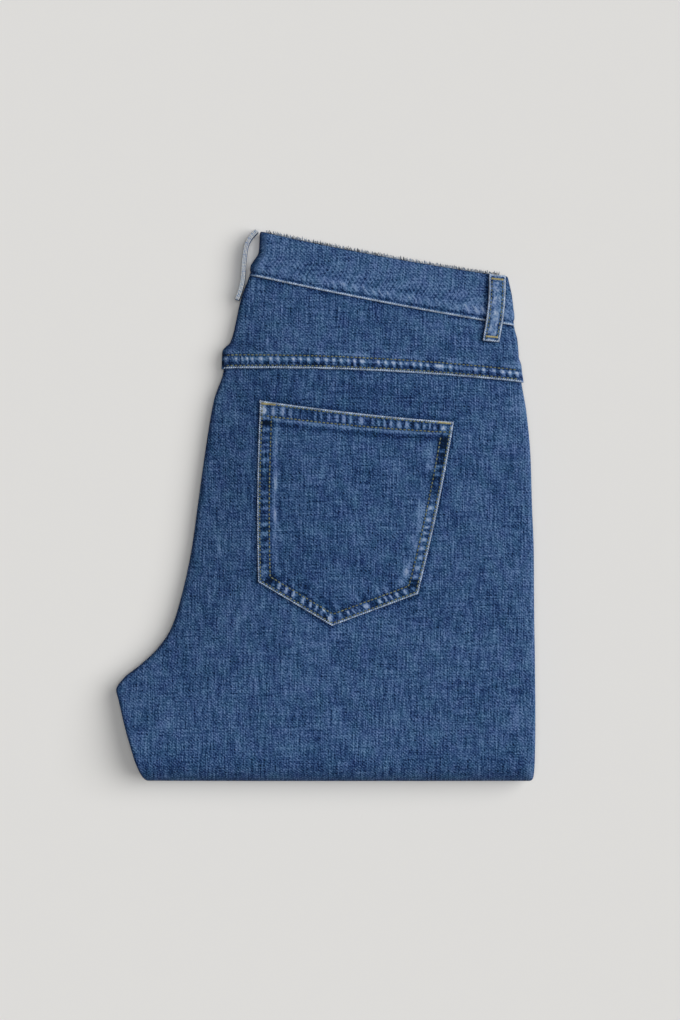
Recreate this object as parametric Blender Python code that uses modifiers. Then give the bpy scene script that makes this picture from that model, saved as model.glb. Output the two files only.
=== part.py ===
"""Regular fit jeans, folded in half down the middle and then in thirds, lying back side up.

The garment lies on the plane z = 0 with its waist towards +Y and its side seams towards +X.
All driving sizes are millimetres; every object is made in metres.
"""
import math

import bpy
import numpy as np
from mathutils import Vector
from mathutils.bvhtree import BVHTree

MM = 0.001
PART_NAME = "folded_jeans"

# Cloth
PANEL_WALL = 1.5
BAND_WALL = 2.3
POCKET_WALL = 1.3
LOOP_WALL = 1.9
SEAM_GAP = 0.3
LAYER_GAP = 0.4

# Bottom fold, where the legs turn under
FOLD_Y = -203.0
FOLD_REACH = 17.2

# Turned edges: how far in from the outline the cloth starts to turn, and how far down it ends
SEAT_TURN_IN = 4.6
SEAT_TURN_DOWN = 3.9
SIDE_TURN_IN = 3.0
SIDE_TURN_DOWN = 2.8
TURN_ANGLES = (90.0, 60.0, 30.0)
TURN_CLEARANCE = 1.3
MOST_SLANT = 2.2
SLANT_SINK = 0.4

# One row for each line across the garment, waist first. left and right are the ends of the
# line, bow is how far its middle stands towards the waist, and z_* is the height of the
# upper surface near the left edge, over the middle and near the right edge.
SECTION_COLUMNS = ("name", "left_x", "left_y", "right_x", "right_y", "bow", "z_left", "z_mid", "z_right")
SECTIONS = (
    ("waist_edge", -53.0, 220.2, 145.8, 183.8, -2.2, 13.6, 15.2, 14.2),
    ("band_middle", -53.8, 204.6, 149.4, 167.0, -2.1, 13.6, 17.0, 15.2),
    ("band_low", -59.8, 193.4, 150.6, 155.0, -2.0, 13.6, 18.4, 16.4),
    ("band_seam", -61.4, 184.6, 151.0, 143.8, -1.9, 13.6, 19.4, 17.4),
    ("yoke_high", -67.8, 167.0, 153.4, 132.6, -0.5, 13.4, 22.0, 19.4),
    ("yoke_low", -76.4, 131.8, 154.4, 119.0, 2.2, 13.2, 25.6, 21.8),
    ("lap_top", -81.1, 123.8, 154.7, 111.0, 3.0, 13.2, 26.4, 22.6),
    ("lap_edge", -81.9, 109.8, 156.3, 98.6, 3.4, 13.2, 27.8, 24.0),
    ("pocket_mouth", -89.8, 84.6, 160.2, 75.0, 2.0, 13.4, 30.2, 26.4),
    ("seat_high", -96.6, 44.6, 163.4, 37.4, 1.0, 13.8, 32.6, 29.4),
    ("seat_middle", -102.2, 4.6, 164.4, 0.6, 0.4, 14.2, 33.8, 31.0),
    ("seat_low", -107.8, -35.4, 165.8, -37.0, 0.0, 14.6, 34.6, 32.0),
    ("seat_curve", -116.6, -75.4, 166.0, -76.2, 0.0, 15.4, 35.0, 32.4),
    ("seat_turn", -124.6, -99.4, 166.3, -99.4, 0.0, 16.2, 35.0, 32.6),
    ("fork_high", -135.8, -115.4, 166.6, -115.4, 0.0, 17.0, 35.0, 32.6),
    ("fork_middle", -148.6, -127.4, 166.7, -127.4, 0.0, 17.8, 35.0, 32.6),
    ("fork_low", -162.4, -138.6, 166.8, -138.6, 0.0, 18.6, 35.0, 32.6),
    ("fork_point", -167.8, -147.4, 166.9, -147.4, 0.0, 19.6, 34.9, 32.6),
    ("inseam_top", -165.8, -155.4, 167.0, -155.4, 0.0, 21.2, 34.8, 32.6),
    ("inseam_low", -159.8, -179.4, 167.0, -179.4, 0.0, 26.4, 34.6, 32.6),
    ("fold_start", -152.6, FOLD_Y, 166.6, FOLD_Y, 0.0, 30.0, 34.4, 32.4),
)

# Width over which the upper surface falls to its edges, as a part of the whole width
LEFT_FALL = 0.42
RIGHT_FALL = 0.34

# How far the pile's underside stays inside the outline on the left, and on the right
BASE_COLUMNS = ("y", "left_inset")
BASE_INSETS = (
    (FOLD_Y, 11.6),
    (-180.0, 18.0),
    (-155.0, 18.0),
    (-138.0, 13.0),
    (-115.0, 8.0),
    (-75.0, 4.0),
    (-35.0, 2.5),
    (240.0, 2.5),
)
BASE_RIGHT_INSET = 1.1

# Left edge of the leg that lies under the pile, up to its second fold below the waistband
UNDER_COLUMNS = ("y", "left_x")
UNDER_LEG = (
    (FOLD_Y, -141.0),
    (-155.0, -112.0),
    (-75.0, -83.0),
    (5.0, -66.0),
    (85.0, -55.0),
    (140.0, -51.0),
)
UNDER_ROWS = ("fold_start", "inseam_low", "fork_point", "seat_turn", "seat_low", "seat_middle",
              "seat_high", "pocket_mouth", "lap_edge", "yoke_high")

# Places across a panel between its two turned edges
ACROSS = (0.0, 0.06, 0.13, 0.21, 0.3, 0.4, 0.51, 0.62, 0.73, 0.84, 0.93, 1.0)
FOLD_STEPS = 10

# Waistband: four thicknesses, a ring folded in half with its front inside
FRONT_INSET = 11.0
BAND_PROUD = 0.8
BAND_LEFT_BULGE = 6.0
BAND_ROWS = 5
BAND_ACROSS = (0.0, 0.08, 0.18, 0.3, 0.42, 0.54, 0.66, 0.78, 0.89, 1.0)
BAND_FOLD_ANGLES = (30.0, 60.0, 90.0, 120.0, 150.0)

# Back pocket, its corners on the panel
POCKET_TOP_LEFT = (-52.3, 84.0)
POCKET_TOP_RIGHT = (102.0, 66.7)
POCKET_LOW_LEFT = (-53.8, -60.6)
POCKET_LOW_RIGHT = (73.3, -70.0)
POCKET_TIP = (5.0, -95.4)
POCKET_MOUTH_SAG = 1.6
POCKET_SIDE_BOW = 1.4
POCKET_COLUMNS = 12
POCKET_ROWS = 12
HEM_DEPTH = 11.0
HEM_RISE = 0.7

# Belt loops
LOOP_WIDTH = 13.4
SIDE_LOOP_TOP = (137.4, 184.6)
SIDE_LOOP_LOW = (131.9, 131.4)
SIDE_LOOP_LIFT = 2.4
LOOP_ROWS = 10
BACK_LOOP_COLUMNS = ("x", "y")
BACK_LOOP_ROUTE = (
    (-55.3, 220.8),
    (-60.8, 214.8),
    (-63.4, 209.6),
    (-64.7, 204.0),
    (-65.9, 194.0),
    (-66.6, 182.0),
    (-68.6, 172.6),
    (-71.2, 165.4),
)
BACK_LOOP_WALL = 2.4
BACK_LOOP_BASE = 0.4

COLOURS = {
    "denim": (0.042, 0.085, 0.165, 1.0),
    "denim_inside": (0.16, 0.22, 0.31, 1.0),
    "denim_worn": (0.075, 0.135, 0.225, 1.0),
}


def column(table, columns, name):
    """One named column of a table, as an array."""
    return np.array([row[columns.index(name)] for row in table], float)


def curve_through(knots, values, at):
    """Smooth value at a place, through the knots and never past their values."""
    spans = np.diff(knots)
    rates = np.diff(values) / spans
    slopes = np.zeros(len(knots))
    slopes[0] = rates[0]
    slopes[-1] = rates[-1]
    for i in range(1, len(knots) - 1):
        if rates[i - 1] * rates[i] > 0.0:
            before = 2.0 * spans[i] + spans[i - 1]
            after = spans[i] + 2.0 * spans[i - 1]
            slopes[i] = (before + after) / (before / rates[i - 1] + after / rates[i])
    at = min(max(at, knots[0]), knots[-1])
    i = min(int(np.searchsorted(knots, at, side="right")) - 1, len(spans) - 1)
    t = (at - knots[i]) / spans[i]
    rise = values[i + 1] - values[i]
    start = slopes[i] * spans[i]
    end = slopes[i + 1] * spans[i]
    return values[i] + t * start + t * t * (3.0 * rise - 2.0 * start - end) + t ** 3 * (start + end - 2.0 * rise)


def smooth_step(t):
    """0 to 1 with level ends."""
    t = min(max(t, 0.0), 1.0)
    return t * t * (3.0 - 2.0 * t)


def section_places():
    """How far down the garment each row of SECTIONS lies."""
    ends = [column(SECTIONS, SECTION_COLUMNS, name) for name in ("left_x", "left_y", "right_x", "right_y")]
    left = np.hypot(np.diff(ends[0]), np.diff(ends[1]))
    right = np.hypot(np.diff(ends[2]), np.diff(ends[3]))
    return np.concatenate(([0.0], np.cumsum(0.5 * (left + right))))


DOWN = section_places()
SECTION_NAMES = [row[0] for row in SECTIONS]
SECTION_CURVES = {name: column(SECTIONS, SECTION_COLUMNS, name) for name in SECTION_COLUMNS[1:]}


def down_at(name):
    """Distance down the garment of a named row."""
    return float(DOWN[SECTION_NAMES.index(name)])


def section_value(name, down):
    """A column of SECTIONS at any distance down the garment."""
    return curve_through(DOWN, SECTION_CURVES[name], down)


def upper_height(u, down):
    """Height of the garment's upper surface, u across and down its length."""
    middle = section_value("z_mid", down)
    left = max(0.0, 1.0 - u / LEFT_FALL) ** 2
    right = max(0.0, 1.0 - (1.0 - u) / RIGHT_FALL) ** 2
    return (middle - (middle - section_value("z_left", down)) * left
            - (middle - section_value("z_right", down)) * right)


def edge_turn(down):
    """Turn of the left edge: wide round the seat fold, tight along the inseam."""
    share = smooth_step((down - down_at("fork_middle")) / (down_at("inseam_top") - down_at("fork_middle")))
    turn_in = SEAT_TURN_IN + (SIDE_TURN_IN - SEAT_TURN_IN) * share
    turn_down = SEAT_TURN_DOWN + (SIDE_TURN_DOWN - SEAT_TURN_DOWN) * share
    return turn_in, turn_down, share


def edge_slant(down):
    """How much thicker a wall along the left edge measures across the garment than square to it."""
    reach = 4.0
    run = section_value("left_x", down + reach) - section_value("left_x", down - reach)
    rise = section_value("left_y", down + reach) - section_value("left_y", down - reach)
    return min(math.hypot(run, rise) / abs(rise), MOST_SLANT)


class TopStation:
    """A line across the upper side of the garment."""

    def __init__(self, down):
        self.down = down
        self.left = section_value("left_x", down)
        self.right = section_value("right_x", down)
        self.turn_in, self.turn_down, self.layered = edge_turn(down)
        self.left_turned = 1.0
        self.slant = edge_slant(down)

    def half(self, u):
        return 0.5 * upper_height(u, self.down)

    def place(self, x, depth):
        u = (x - self.left) / (self.right - self.left)
        inner = min(max(u, 0.0), 1.0)
        left_y = section_value("left_y", self.down)
        right_y = section_value("right_y", self.down)
        y = left_y + (right_y - left_y) * inner + 4.0 * section_value("bow", self.down) * inner * (1.0 - inner)
        return x, y, upper_height(inner, self.down) - depth


class FoldStation:
    """A line along the bottom fold, angle 0 above and 180 below."""

    def __init__(self, angle):
        self.angle = math.radians(angle)
        self.down = down_at("fold_start")
        inset = BASE_INSETS[0][1]
        self.left = section_value("left_x", self.down) + inset * math.sin(0.5 * self.angle)
        self.right = section_value("right_x", self.down) - BASE_RIGHT_INSET * math.sin(0.5 * self.angle)
        self.turn_in, self.turn_down, self.layered = edge_turn(self.down)
        self.left_turned = 1.0 - smooth_step((angle - 100.0) / 60.0)
        self.slant = 1.0

    def half(self, u):
        return 0.5 * upper_height(u, self.down)

    def place(self, x, depth):
        u = min(max((x - self.left) / (self.right - self.left), 0.0), 1.0)
        half = self.half(u)
        y = FOLD_Y - (FOLD_REACH - depth) * math.sin(self.angle)
        return x, y, half + (half - depth) * math.cos(self.angle)


class UnderStation:
    """A line across the leg that lies under the pile."""

    def __init__(self, down):
        self.y = section_value("right_y", down)
        knots = column(UNDER_LEG, UNDER_COLUMNS, "y")
        self.left = curve_through(knots, column(UNDER_LEG, UNDER_COLUMNS, "left_x"), self.y)
        self.right = section_value("right_x", down) - BASE_RIGHT_INSET
        self.turn_in, self.turn_down, self.layered = edge_turn(down_at("fold_start"))
        self.left_turned = 0.0

    def place(self, x, depth):
        return x, self.y, depth


class BaseStation(TopStation):
    """A line across the pile's flat underside."""

    def __init__(self, down):
        super().__init__(down)
        self.outline_left = self.left
        self.outline_right = self.right
        y = section_value("left_y", down)
        knots = column(BASE_INSETS, BASE_COLUMNS, "y")
        self.base_left = self.left + curve_through(knots, column(BASE_INSETS, BASE_COLUMNS, "left_inset"), y)
        self.base_right = self.right - BASE_RIGHT_INSET

    def reach(self, share):
        """Ends of the line as it rises from the base to the middle of the pile."""
        share = smooth_step(share)
        self.left = self.base_left + (self.outline_left - self.base_left) * share
        self.right = self.base_right + (self.outline_right - self.base_right) * share

    def place(self, x, depth):
        _, y, _ = super().place(x, 0.0)
        return x, y, depth


def turned_edge(edge_x, side, turn_in, turn_down, angle, out):
    """Point on an edge that turns down: side is -1 left, 1 right; out moves it off the cloth."""
    across = math.sin(math.radians(angle))
    along = math.cos(math.radians(angle))
    return edge_x - side * turn_in + side * (turn_in + out) * across, turn_down - (turn_down + out) * along


def panel_row(station, out=0.0):
    """Points across a panel from its left seam to its right seam, both edges turned down."""
    row = []
    for angle in TURN_ANGLES:
        x, depth = turned_edge(station.left, -1, station.turn_in, station.turn_down, angle, out)
        flat_x = station.left + station.turn_in * (1.0 - angle / 90.0)
        turned = station.left_turned
        row.append(station.place(flat_x + (x - flat_x) * turned, -out + (depth + out) * turned))
    start = station.left + station.turn_in
    width = station.right - SIDE_TURN_IN - start
    for share in ACROSS:
        row.append(station.place(start + share * width, -out))
    for angle in reversed(TURN_ANGLES):
        x, depth = turned_edge(station.right, 1, SIDE_TURN_IN, SIDE_TURN_DOWN, angle, out)
        row.append(station.place(x, depth))
    return row


def to_metres(points):
    return [Vector(point) * MM for point in points]


def loft(rows, ring=False):
    """Vertices and quads of a surface through rows of equal length."""
    count = len(rows[0])
    vertices = [point for row in rows for point in to_metres(row)]
    faces = []
    for i in range(len(rows) - 1):
        for j in range(count if ring else count - 1):
            k = (j + 1) % count
            faces.append((i * count + j, (i + 1) * count + j, (i + 1) * count + k, i * count + k))
    return vertices, faces


def new_object(name, vertices, faces, material_name):
    """Mesh object in the part's collection, with a Principled material of its own."""
    mesh = bpy.data.meshes.new(name)
    mesh.from_pydata(vertices, [], faces)
    mesh.validate()
    thing = bpy.data.objects.new(name, mesh)
    material = bpy.data.materials.new(name + "_cloth")
    material.use_nodes = True
    shader = material.node_tree.nodes["Principled BSDF"]
    shader.inputs["Base Color"].default_value = COLOURS[material_name]
    shader.inputs["Roughness"].default_value = 0.88
    shader.inputs["Metallic"].default_value = 0.0
    mesh.materials.append(material)
    bpy.data.collections[PART_NAME].objects.link(thing)
    mesh.shade_smooth()
    mesh.set_sharp_from_angle(angle=math.radians(50.0))
    return thing


def finish_solid(thing, wall=0.0, offset=-1.0):
    """Give a surface its wall, and split its faces the same way as its neighbours' faces."""
    if wall:
        solidify = thing.modifiers.new("wall", "SOLIDIFY")
        solidify.thickness = wall * MM
        solidify.offset = offset
        solidify.use_even_offset = True
    split = thing.modifiers.new("split", "TRIANGULATE")
    split.quad_method = "BEAUTY"
    split.ngon_method = "BEAUTY"


def cloth_sheet(name, rows, wall, material_name):
    """Sheet of cloth whose outer side passes through the rows."""
    vertices, faces = loft(rows)
    thing = new_object(name, vertices, faces, material_name)
    finish_solid(thing, wall)
    return BVHTree.FromPolygons(vertices, faces)


def back_leg():
    """Back leg panel: from under the yoke, round the bottom fold and back under the pile."""
    names = SECTION_NAMES[SECTION_NAMES.index("lap_top"):]
    stations = [TopStation(down_at(name)) for name in names]
    stations[0] = TopStation(down_at("lap_top") + SEAM_GAP)
    stations += [FoldStation(180.0 * step / FOLD_STEPS) for step in range(1, FOLD_STEPS)]
    stations += [UnderStation(down_at(name)) for name in UNDER_ROWS]
    rows = [panel_row(station) for station in stations]
    return cloth_sheet("back_leg", rows, PANEL_WALL, "denim")


def yoke():
    """Back yoke: from the waistband down to its lap over the top of the leg panel."""
    lap = PANEL_WALL + LAYER_GAP
    start = down_at("band_seam") + SEAM_GAP
    lap_top = down_at("lap_top")
    lap_edge = down_at("lap_edge")
    plan = (
        (start, 0.0),
        (down_at("yoke_high"), 0.0),
        (down_at("yoke_low"), 0.0),
        (lap_top - 0.5 * PANEL_WALL, lap),
        (lap_top + SEAM_GAP, lap),
        (lap_edge, lap),
    )
    rows = [panel_row(TopStation(down), rise) for down, rise in plan]
    return cloth_sheet("yoke", rows, PANEL_WALL, "denim")


def band_ring(down):
    """One line round the waistband: back, side, front, centre, front, side and back again."""
    station = TopStation(down)
    half_wall = 0.5 * BAND_WALL

    def level(x, number):
        """Height of a ply's middle at x, the lowest ply being number 0."""
        u = (x - station.left) / (station.right - station.left)
        pitch = (upper_height(u, down) + BAND_PROUD - BAND_WALL) / 3.0
        return half_wall + pitch * number

    def run(number, first, last):
        """Points along one ply, from first to last."""
        return [(x, level(x, number)) for x in (first + share * (last - first) for share in BAND_ACROSS)]

    def turn(x, start, end, side, bulge):
        """Points round a fold between two plies, on the left with side -1 and on the right with 1."""
        middle = 0.5 * (start + end)
        half = 0.5 * (start - end)
        angles = [math.radians(angle) for angle in BAND_FOLD_ANGLES]
        return [(x + side * bulge * math.sin(a), middle + half * math.cos(a)) for a in angles]

    side_bulge = 0.5 * level(station.right, 1) + 0.25 * BAND_WALL
    left = station.left + BAND_LEFT_BULGE
    right = station.right - side_bulge - half_wall
    front = left + FRONT_INSET
    ring = run(3, left, right) + turn(right, level(right, 3), level(right, 2), 1, side_bulge)
    ring += run(2, right, front) + turn(front, level(front, 2), level(front, 1), -1, side_bulge)
    ring += run(1, front, right) + turn(right, level(right, 1), level(right, 0), 1, side_bulge)
    ring += run(0, right, left) + turn(left, level(left, 0), level(left, 3), -1, BAND_LEFT_BULGE - half_wall)
    return [(x, station.place(x, 0.0)[1], z) for x, z in ring]


def waistband():
    """Waistband: a ring folded in half, four thicknesses that meet at the side folds."""
    end = down_at("band_seam") - SEAM_GAP
    rows = [band_ring(end * step / (BAND_ROWS - 1)) for step in range(BAND_ROWS)]
    vertices, faces = loft(rows, ring=True)
    thing = new_object("waistband", vertices, faces, "denim_worn")
    finish_solid(thing, BAND_WALL, 0.0)
    top_count = len(BAND_ACROSS) + 2
    tops = [[(x, y, z + 0.5 * BAND_WALL) for x, y, z in row[:top_count]] for row in rows]
    return BVHTree.FromPolygons(*loft(tops))


def height_on(trees, x, y):
    """Height of the highest of some surfaces below a point, in millimetres."""
    best = None
    for tree in trees:
        hit, _, _, _ = tree.ray_cast(Vector((x * MM, y * MM, 1.0)), Vector((0.0, 0.0, -1.0)))
        if hit is not None:
            best = max(hit.z / MM, best if best is not None else hit.z / MM)
    return best


def pocket_spot(across, down):
    """Plan position on the pocket; down runs from its mouth to its pointed lower edge."""
    top_x = POCKET_TOP_LEFT[0] + across * (POCKET_TOP_RIGHT[0] - POCKET_TOP_LEFT[0])
    top_y = POCKET_TOP_LEFT[1] + across * (POCKET_TOP_RIGHT[1] - POCKET_TOP_LEFT[1])
    top_y -= 4.0 * POCKET_MOUTH_SAG * across * (1.0 - across)
    tip_share = (POCKET_TIP[0] - POCKET_LOW_LEFT[0]) / (POCKET_LOW_RIGHT[0] - POCKET_LOW_LEFT[0])
    if across < tip_share:
        low_from, low_to, share = POCKET_LOW_LEFT, POCKET_TIP, across / tip_share
    else:
        low_from, low_to, share = POCKET_TIP, POCKET_LOW_RIGHT, (across - tip_share) / (1.0 - tip_share)
    low_x = low_from[0] + share * (low_to[0] - low_from[0])
    low_y = low_from[1] + share * (low_to[1] - low_from[1])
    bow = POCKET_SIDE_BOW * (1.0 - 2.0 * across) * math.sin(math.pi * down)
    return top_x + down * (low_x - top_x) - bow, top_y + down * (low_y - top_y)


def back_pocket(leg_surface):
    """Patch pocket on the leg panel, with a raised double hem along its mouth."""
    tip_share = (POCKET_TIP[0] - POCKET_LOW_LEFT[0]) / (POCKET_LOW_RIGHT[0] - POCKET_LOW_LEFT[0])
    left_columns = round(POCKET_COLUMNS * tip_share)
    across = [tip_share * i / left_columns for i in range(left_columns)]
    right_columns = POCKET_COLUMNS - left_columns
    across += [tip_share + (1.0 - tip_share) * i / right_columns for i in range(right_columns + 1)]
    length = POCKET_TOP_LEFT[1] - POCKET_LOW_LEFT[1]
    hem = HEM_DEPTH / length
    downs = [0.0, hem - 0.004, hem + 0.004]
    downs += [hem + (1.0 - hem) * i / POCKET_ROWS for i in range(1, POCKET_ROWS + 1)]
    rows = []
    for down in downs:
        rise = HEM_RISE if down < hem else 0.0
        row = []
        for share in across:
            x, y = pocket_spot(share, down)
            z = height_on([leg_surface], x, y) + LAYER_GAP + POCKET_WALL + rise
            row.append((x, y, z))
        rows.append(row)
    return cloth_sheet("back_pocket", rows, POCKET_WALL, "denim")


def belt_loop_side(surfaces):
    """Belt loop near the side seam, sewn down at both ends and lifted between them."""
    top = Vector(SIDE_LOOP_TOP)
    low = Vector(SIDE_LOOP_LOW)
    along = (low - top).normalized()
    aside = Vector((-along.y, along.x))
    rows = []
    for i in range(LOOP_ROWS + 1):
        share = i / LOOP_ROWS
        middle = top + (low - top) * share
        lift = SIDE_LOOP_LIFT * math.sin(math.pi * share) ** 0.7 if 0.0 < share < 1.0 else 0.0
        row = []
        for offset in (-0.5, -0.25, 0.0, 0.25, 0.5):
            spot = middle + aside * (offset * LOOP_WIDTH)
            heights = []
            for reach in (-3.0, 0.0, 3.0, 6.0):
                near = spot + along * reach
                heights.append(height_on(surfaces, near.x, near.y))
            z = max(height for height in heights if height is not None)
            row.append((spot.x, spot.y, z + LAYER_GAP + LOOP_WALL + lift))
        rows.append(row)
    return cloth_sheet("belt_loop_side", rows, LOOP_WALL, "denim_worn")


def belt_loop_back():
    """Belt loop on the centre back seam, seen edge on where it stands off the folded waist."""
    levels = [BACK_LOOP_BASE + LOOP_WIDTH * share for share in (0.0, 0.5, 1.0)]
    xs = column(BACK_LOOP_ROUTE, BACK_LOOP_COLUMNS, "x")
    ys = column(BACK_LOOP_ROUTE, BACK_LOOP_COLUMNS, "y")
    rows = [[(x, y, z) for z in levels] for x, y in zip(xs, ys)]
    return cloth_sheet("belt_loop_back", rows, BACK_LOOP_WALL, "denim_worn")


def pile_levels(turn_in, turn_down, half, layered, hidden, under):
    """Depth and outward reach of the pile's side, from its upper face to its middle."""
    ledge = turn_down + TURN_CLEARANCE
    edge = ledge + 0.5 * LAYER_GAP
    slope = math.sqrt(0.5)
    levels = [
        (under, 0.0),
        (ledge - (ledge - under) * slope, (turn_in - hidden) * slope),
        (ledge, turn_in - hidden),
        (edge, turn_in),
    ]
    valley = edge + (half - edge) * 0.16
    bead = 0.5 * (half - valley)
    levels.append((valley, turn_in * (1.0 - 0.75 * layered)))
    for number in range(2):
        start = valley + number * bead
        for share, reach in ((0.2, 0.75), (0.5, 1.0), (0.8, 0.75), (1.0, 0.25)):
            if number == 1 and share == 1.0:
                continue
            levels.append((start + share * bead, turn_in * (1.0 - (1.0 - reach) * layered)))
    return levels


def hidden_layers():
    """All the cloth inside the fold as one pile, its side layered like the edges of the legs."""
    first = down_at("band_seam") + SEAM_GAP
    names = SECTION_NAMES[SECTION_NAMES.index("yoke_high"):]
    downs = [first] + [down_at(name) for name in names]
    upper = [TopStation(down) for down in downs]
    fold = [FoldStation(180.0 * step / FOLD_STEPS) for step in range(1, FOLD_STEPS)]
    lower = [BaseStation(down) for down in reversed(downs)]
    under = PANEL_WALL + LAYER_GAP
    level_count = len(pile_levels(SIDE_TURN_IN, SIDE_TURN_DOWN, FOLD_REACH, 1.0, under, under))

    def side_ring(level, side):
        ring = []
        for station in upper + fold + lower:
            is_base = isinstance(station, BaseStation)
            u = 0.0 if side < 0 else 1.0
            half = station.half(u)
            if side < 0:
                turn_in, turn_down, layered = station.turn_in, station.turn_down, station.layered
                hidden = 0.0 if is_base else min(under * station.slant, turn_in - LAYER_GAP)
                sunk = under if is_base else under * (1.0 + SLANT_SINK * (station.slant - 1.0))
            else:
                turn_in, turn_down, layered, hidden = SIDE_TURN_IN, SIDE_TURN_DOWN, 1.0, under
                sunk = under
            depth, reach = pile_levels(turn_in, turn_down, half, layered, hidden, sunk)[level]
            if is_base:
                station.reach(depth / half)
            edge = station.left if side < 0 else station.right
            ring.append(station.place(edge - side * turn_in + side * reach, depth))
        return ring

    def inner_ring(share):
        ring = []
        for station in upper + fold + lower:
            if isinstance(station, BaseStation):
                station.reach(0.0)
            start = station.left + station.turn_in
            width = station.right - SIDE_TURN_IN - start
            ring.append(station.place(start + share * width, under))
        return ring

    rings = [side_ring(level, -1) for level in range(level_count - 1, -1, -1)]
    rings += [inner_ring(share) for share in ACROSS[1:-1]]
    rings += [side_ring(level, 1) for level in range(level_count)]
    vertices, faces = loft(rings, ring=True)
    faces = [tuple(reversed(face)) for face in faces]

    count = len(rings[0])
    pairs = len(downs)
    for base, turned in ((0, True), ((len(rings) - 1) * count, False)):
        closing = [(i, i + 1, count - 2 - i, count - 1 - i) for i in range(pairs - 1)]
        closing.append(tuple(range(pairs - 1, count - pairs + 1)))
        for face in closing:
            face = tuple(base + index for index in face)
            faces.append(tuple(reversed(face)) if turned else face)
    finish_solid(new_object("hidden_layers", vertices, faces, "denim_inside"))


def main():
    for thing in list(bpy.data.objects):
        bpy.data.objects.remove(thing, do_unlink=True)
    collection = bpy.data.collections.new(PART_NAME)
    bpy.context.scene.collection.children.link(collection)
    leg_surface = back_leg()
    yoke_surface = yoke()
    band_surface = waistband()
    hidden_layers()
    back_pocket(leg_surface)
    belt_loop_side([band_surface, yoke_surface, leg_surface])
    belt_loop_back()


main()
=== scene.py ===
"""Looks of the regular fit jeans, folded in half and in thirds, lying back side up.

The file is laid out as an add-on and run as a script. Sizes are millimetres and every mesh is
made in metres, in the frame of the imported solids.
"""
import math

import bpy
import numpy as np
from bpy.props import FloatProperty, FloatVectorProperty, PointerProperty
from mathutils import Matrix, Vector
from mathutils.bvhtree import BVHTree


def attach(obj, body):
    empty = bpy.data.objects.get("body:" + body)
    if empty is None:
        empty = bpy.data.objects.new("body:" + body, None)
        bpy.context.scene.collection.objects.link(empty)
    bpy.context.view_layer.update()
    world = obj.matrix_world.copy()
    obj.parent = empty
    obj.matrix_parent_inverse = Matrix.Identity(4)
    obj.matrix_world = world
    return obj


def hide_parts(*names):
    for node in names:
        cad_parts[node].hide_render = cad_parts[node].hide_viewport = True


bl_info = {
    "name": "Folded Jeans",
    "version": (1, 0, 0),
    "blender": (4, 5, 0),
    "location": "View3D > Sidebar > Jeans",
    "description": "Makes the cloth, seams, stitching and stage of a folded pair of jeans",
    "category": "Add Mesh",
}

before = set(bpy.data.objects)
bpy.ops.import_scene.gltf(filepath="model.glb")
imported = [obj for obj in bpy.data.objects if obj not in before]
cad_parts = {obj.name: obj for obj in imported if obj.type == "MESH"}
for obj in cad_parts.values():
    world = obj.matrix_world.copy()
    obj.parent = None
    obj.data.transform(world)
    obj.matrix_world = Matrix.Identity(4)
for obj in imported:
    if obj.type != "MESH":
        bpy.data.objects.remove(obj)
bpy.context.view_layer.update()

MM = 0.001
BODY = "root"

# Cloth, as in the part's source
PANEL_WALL = 1.5
BAND_WALL = 2.3
POCKET_WALL = 1.3
LOOP_WALL = 1.9
SEAM_GAP = 0.3
LAYER_GAP = 0.4
FOLD_Y = -203.0
FOLD_REACH = 17.2
SEAT_TURN_IN = 4.6
SEAT_TURN_DOWN = 3.9
SIDE_TURN_IN = 3.0
SIDE_TURN_DOWN = 2.8
TURN_CLEARANCE = 1.3
MOST_SLANT = 2.2
SLANT_SINK = 0.4
LEFT_FALL = 0.42
RIGHT_FALL = 0.34

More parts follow.
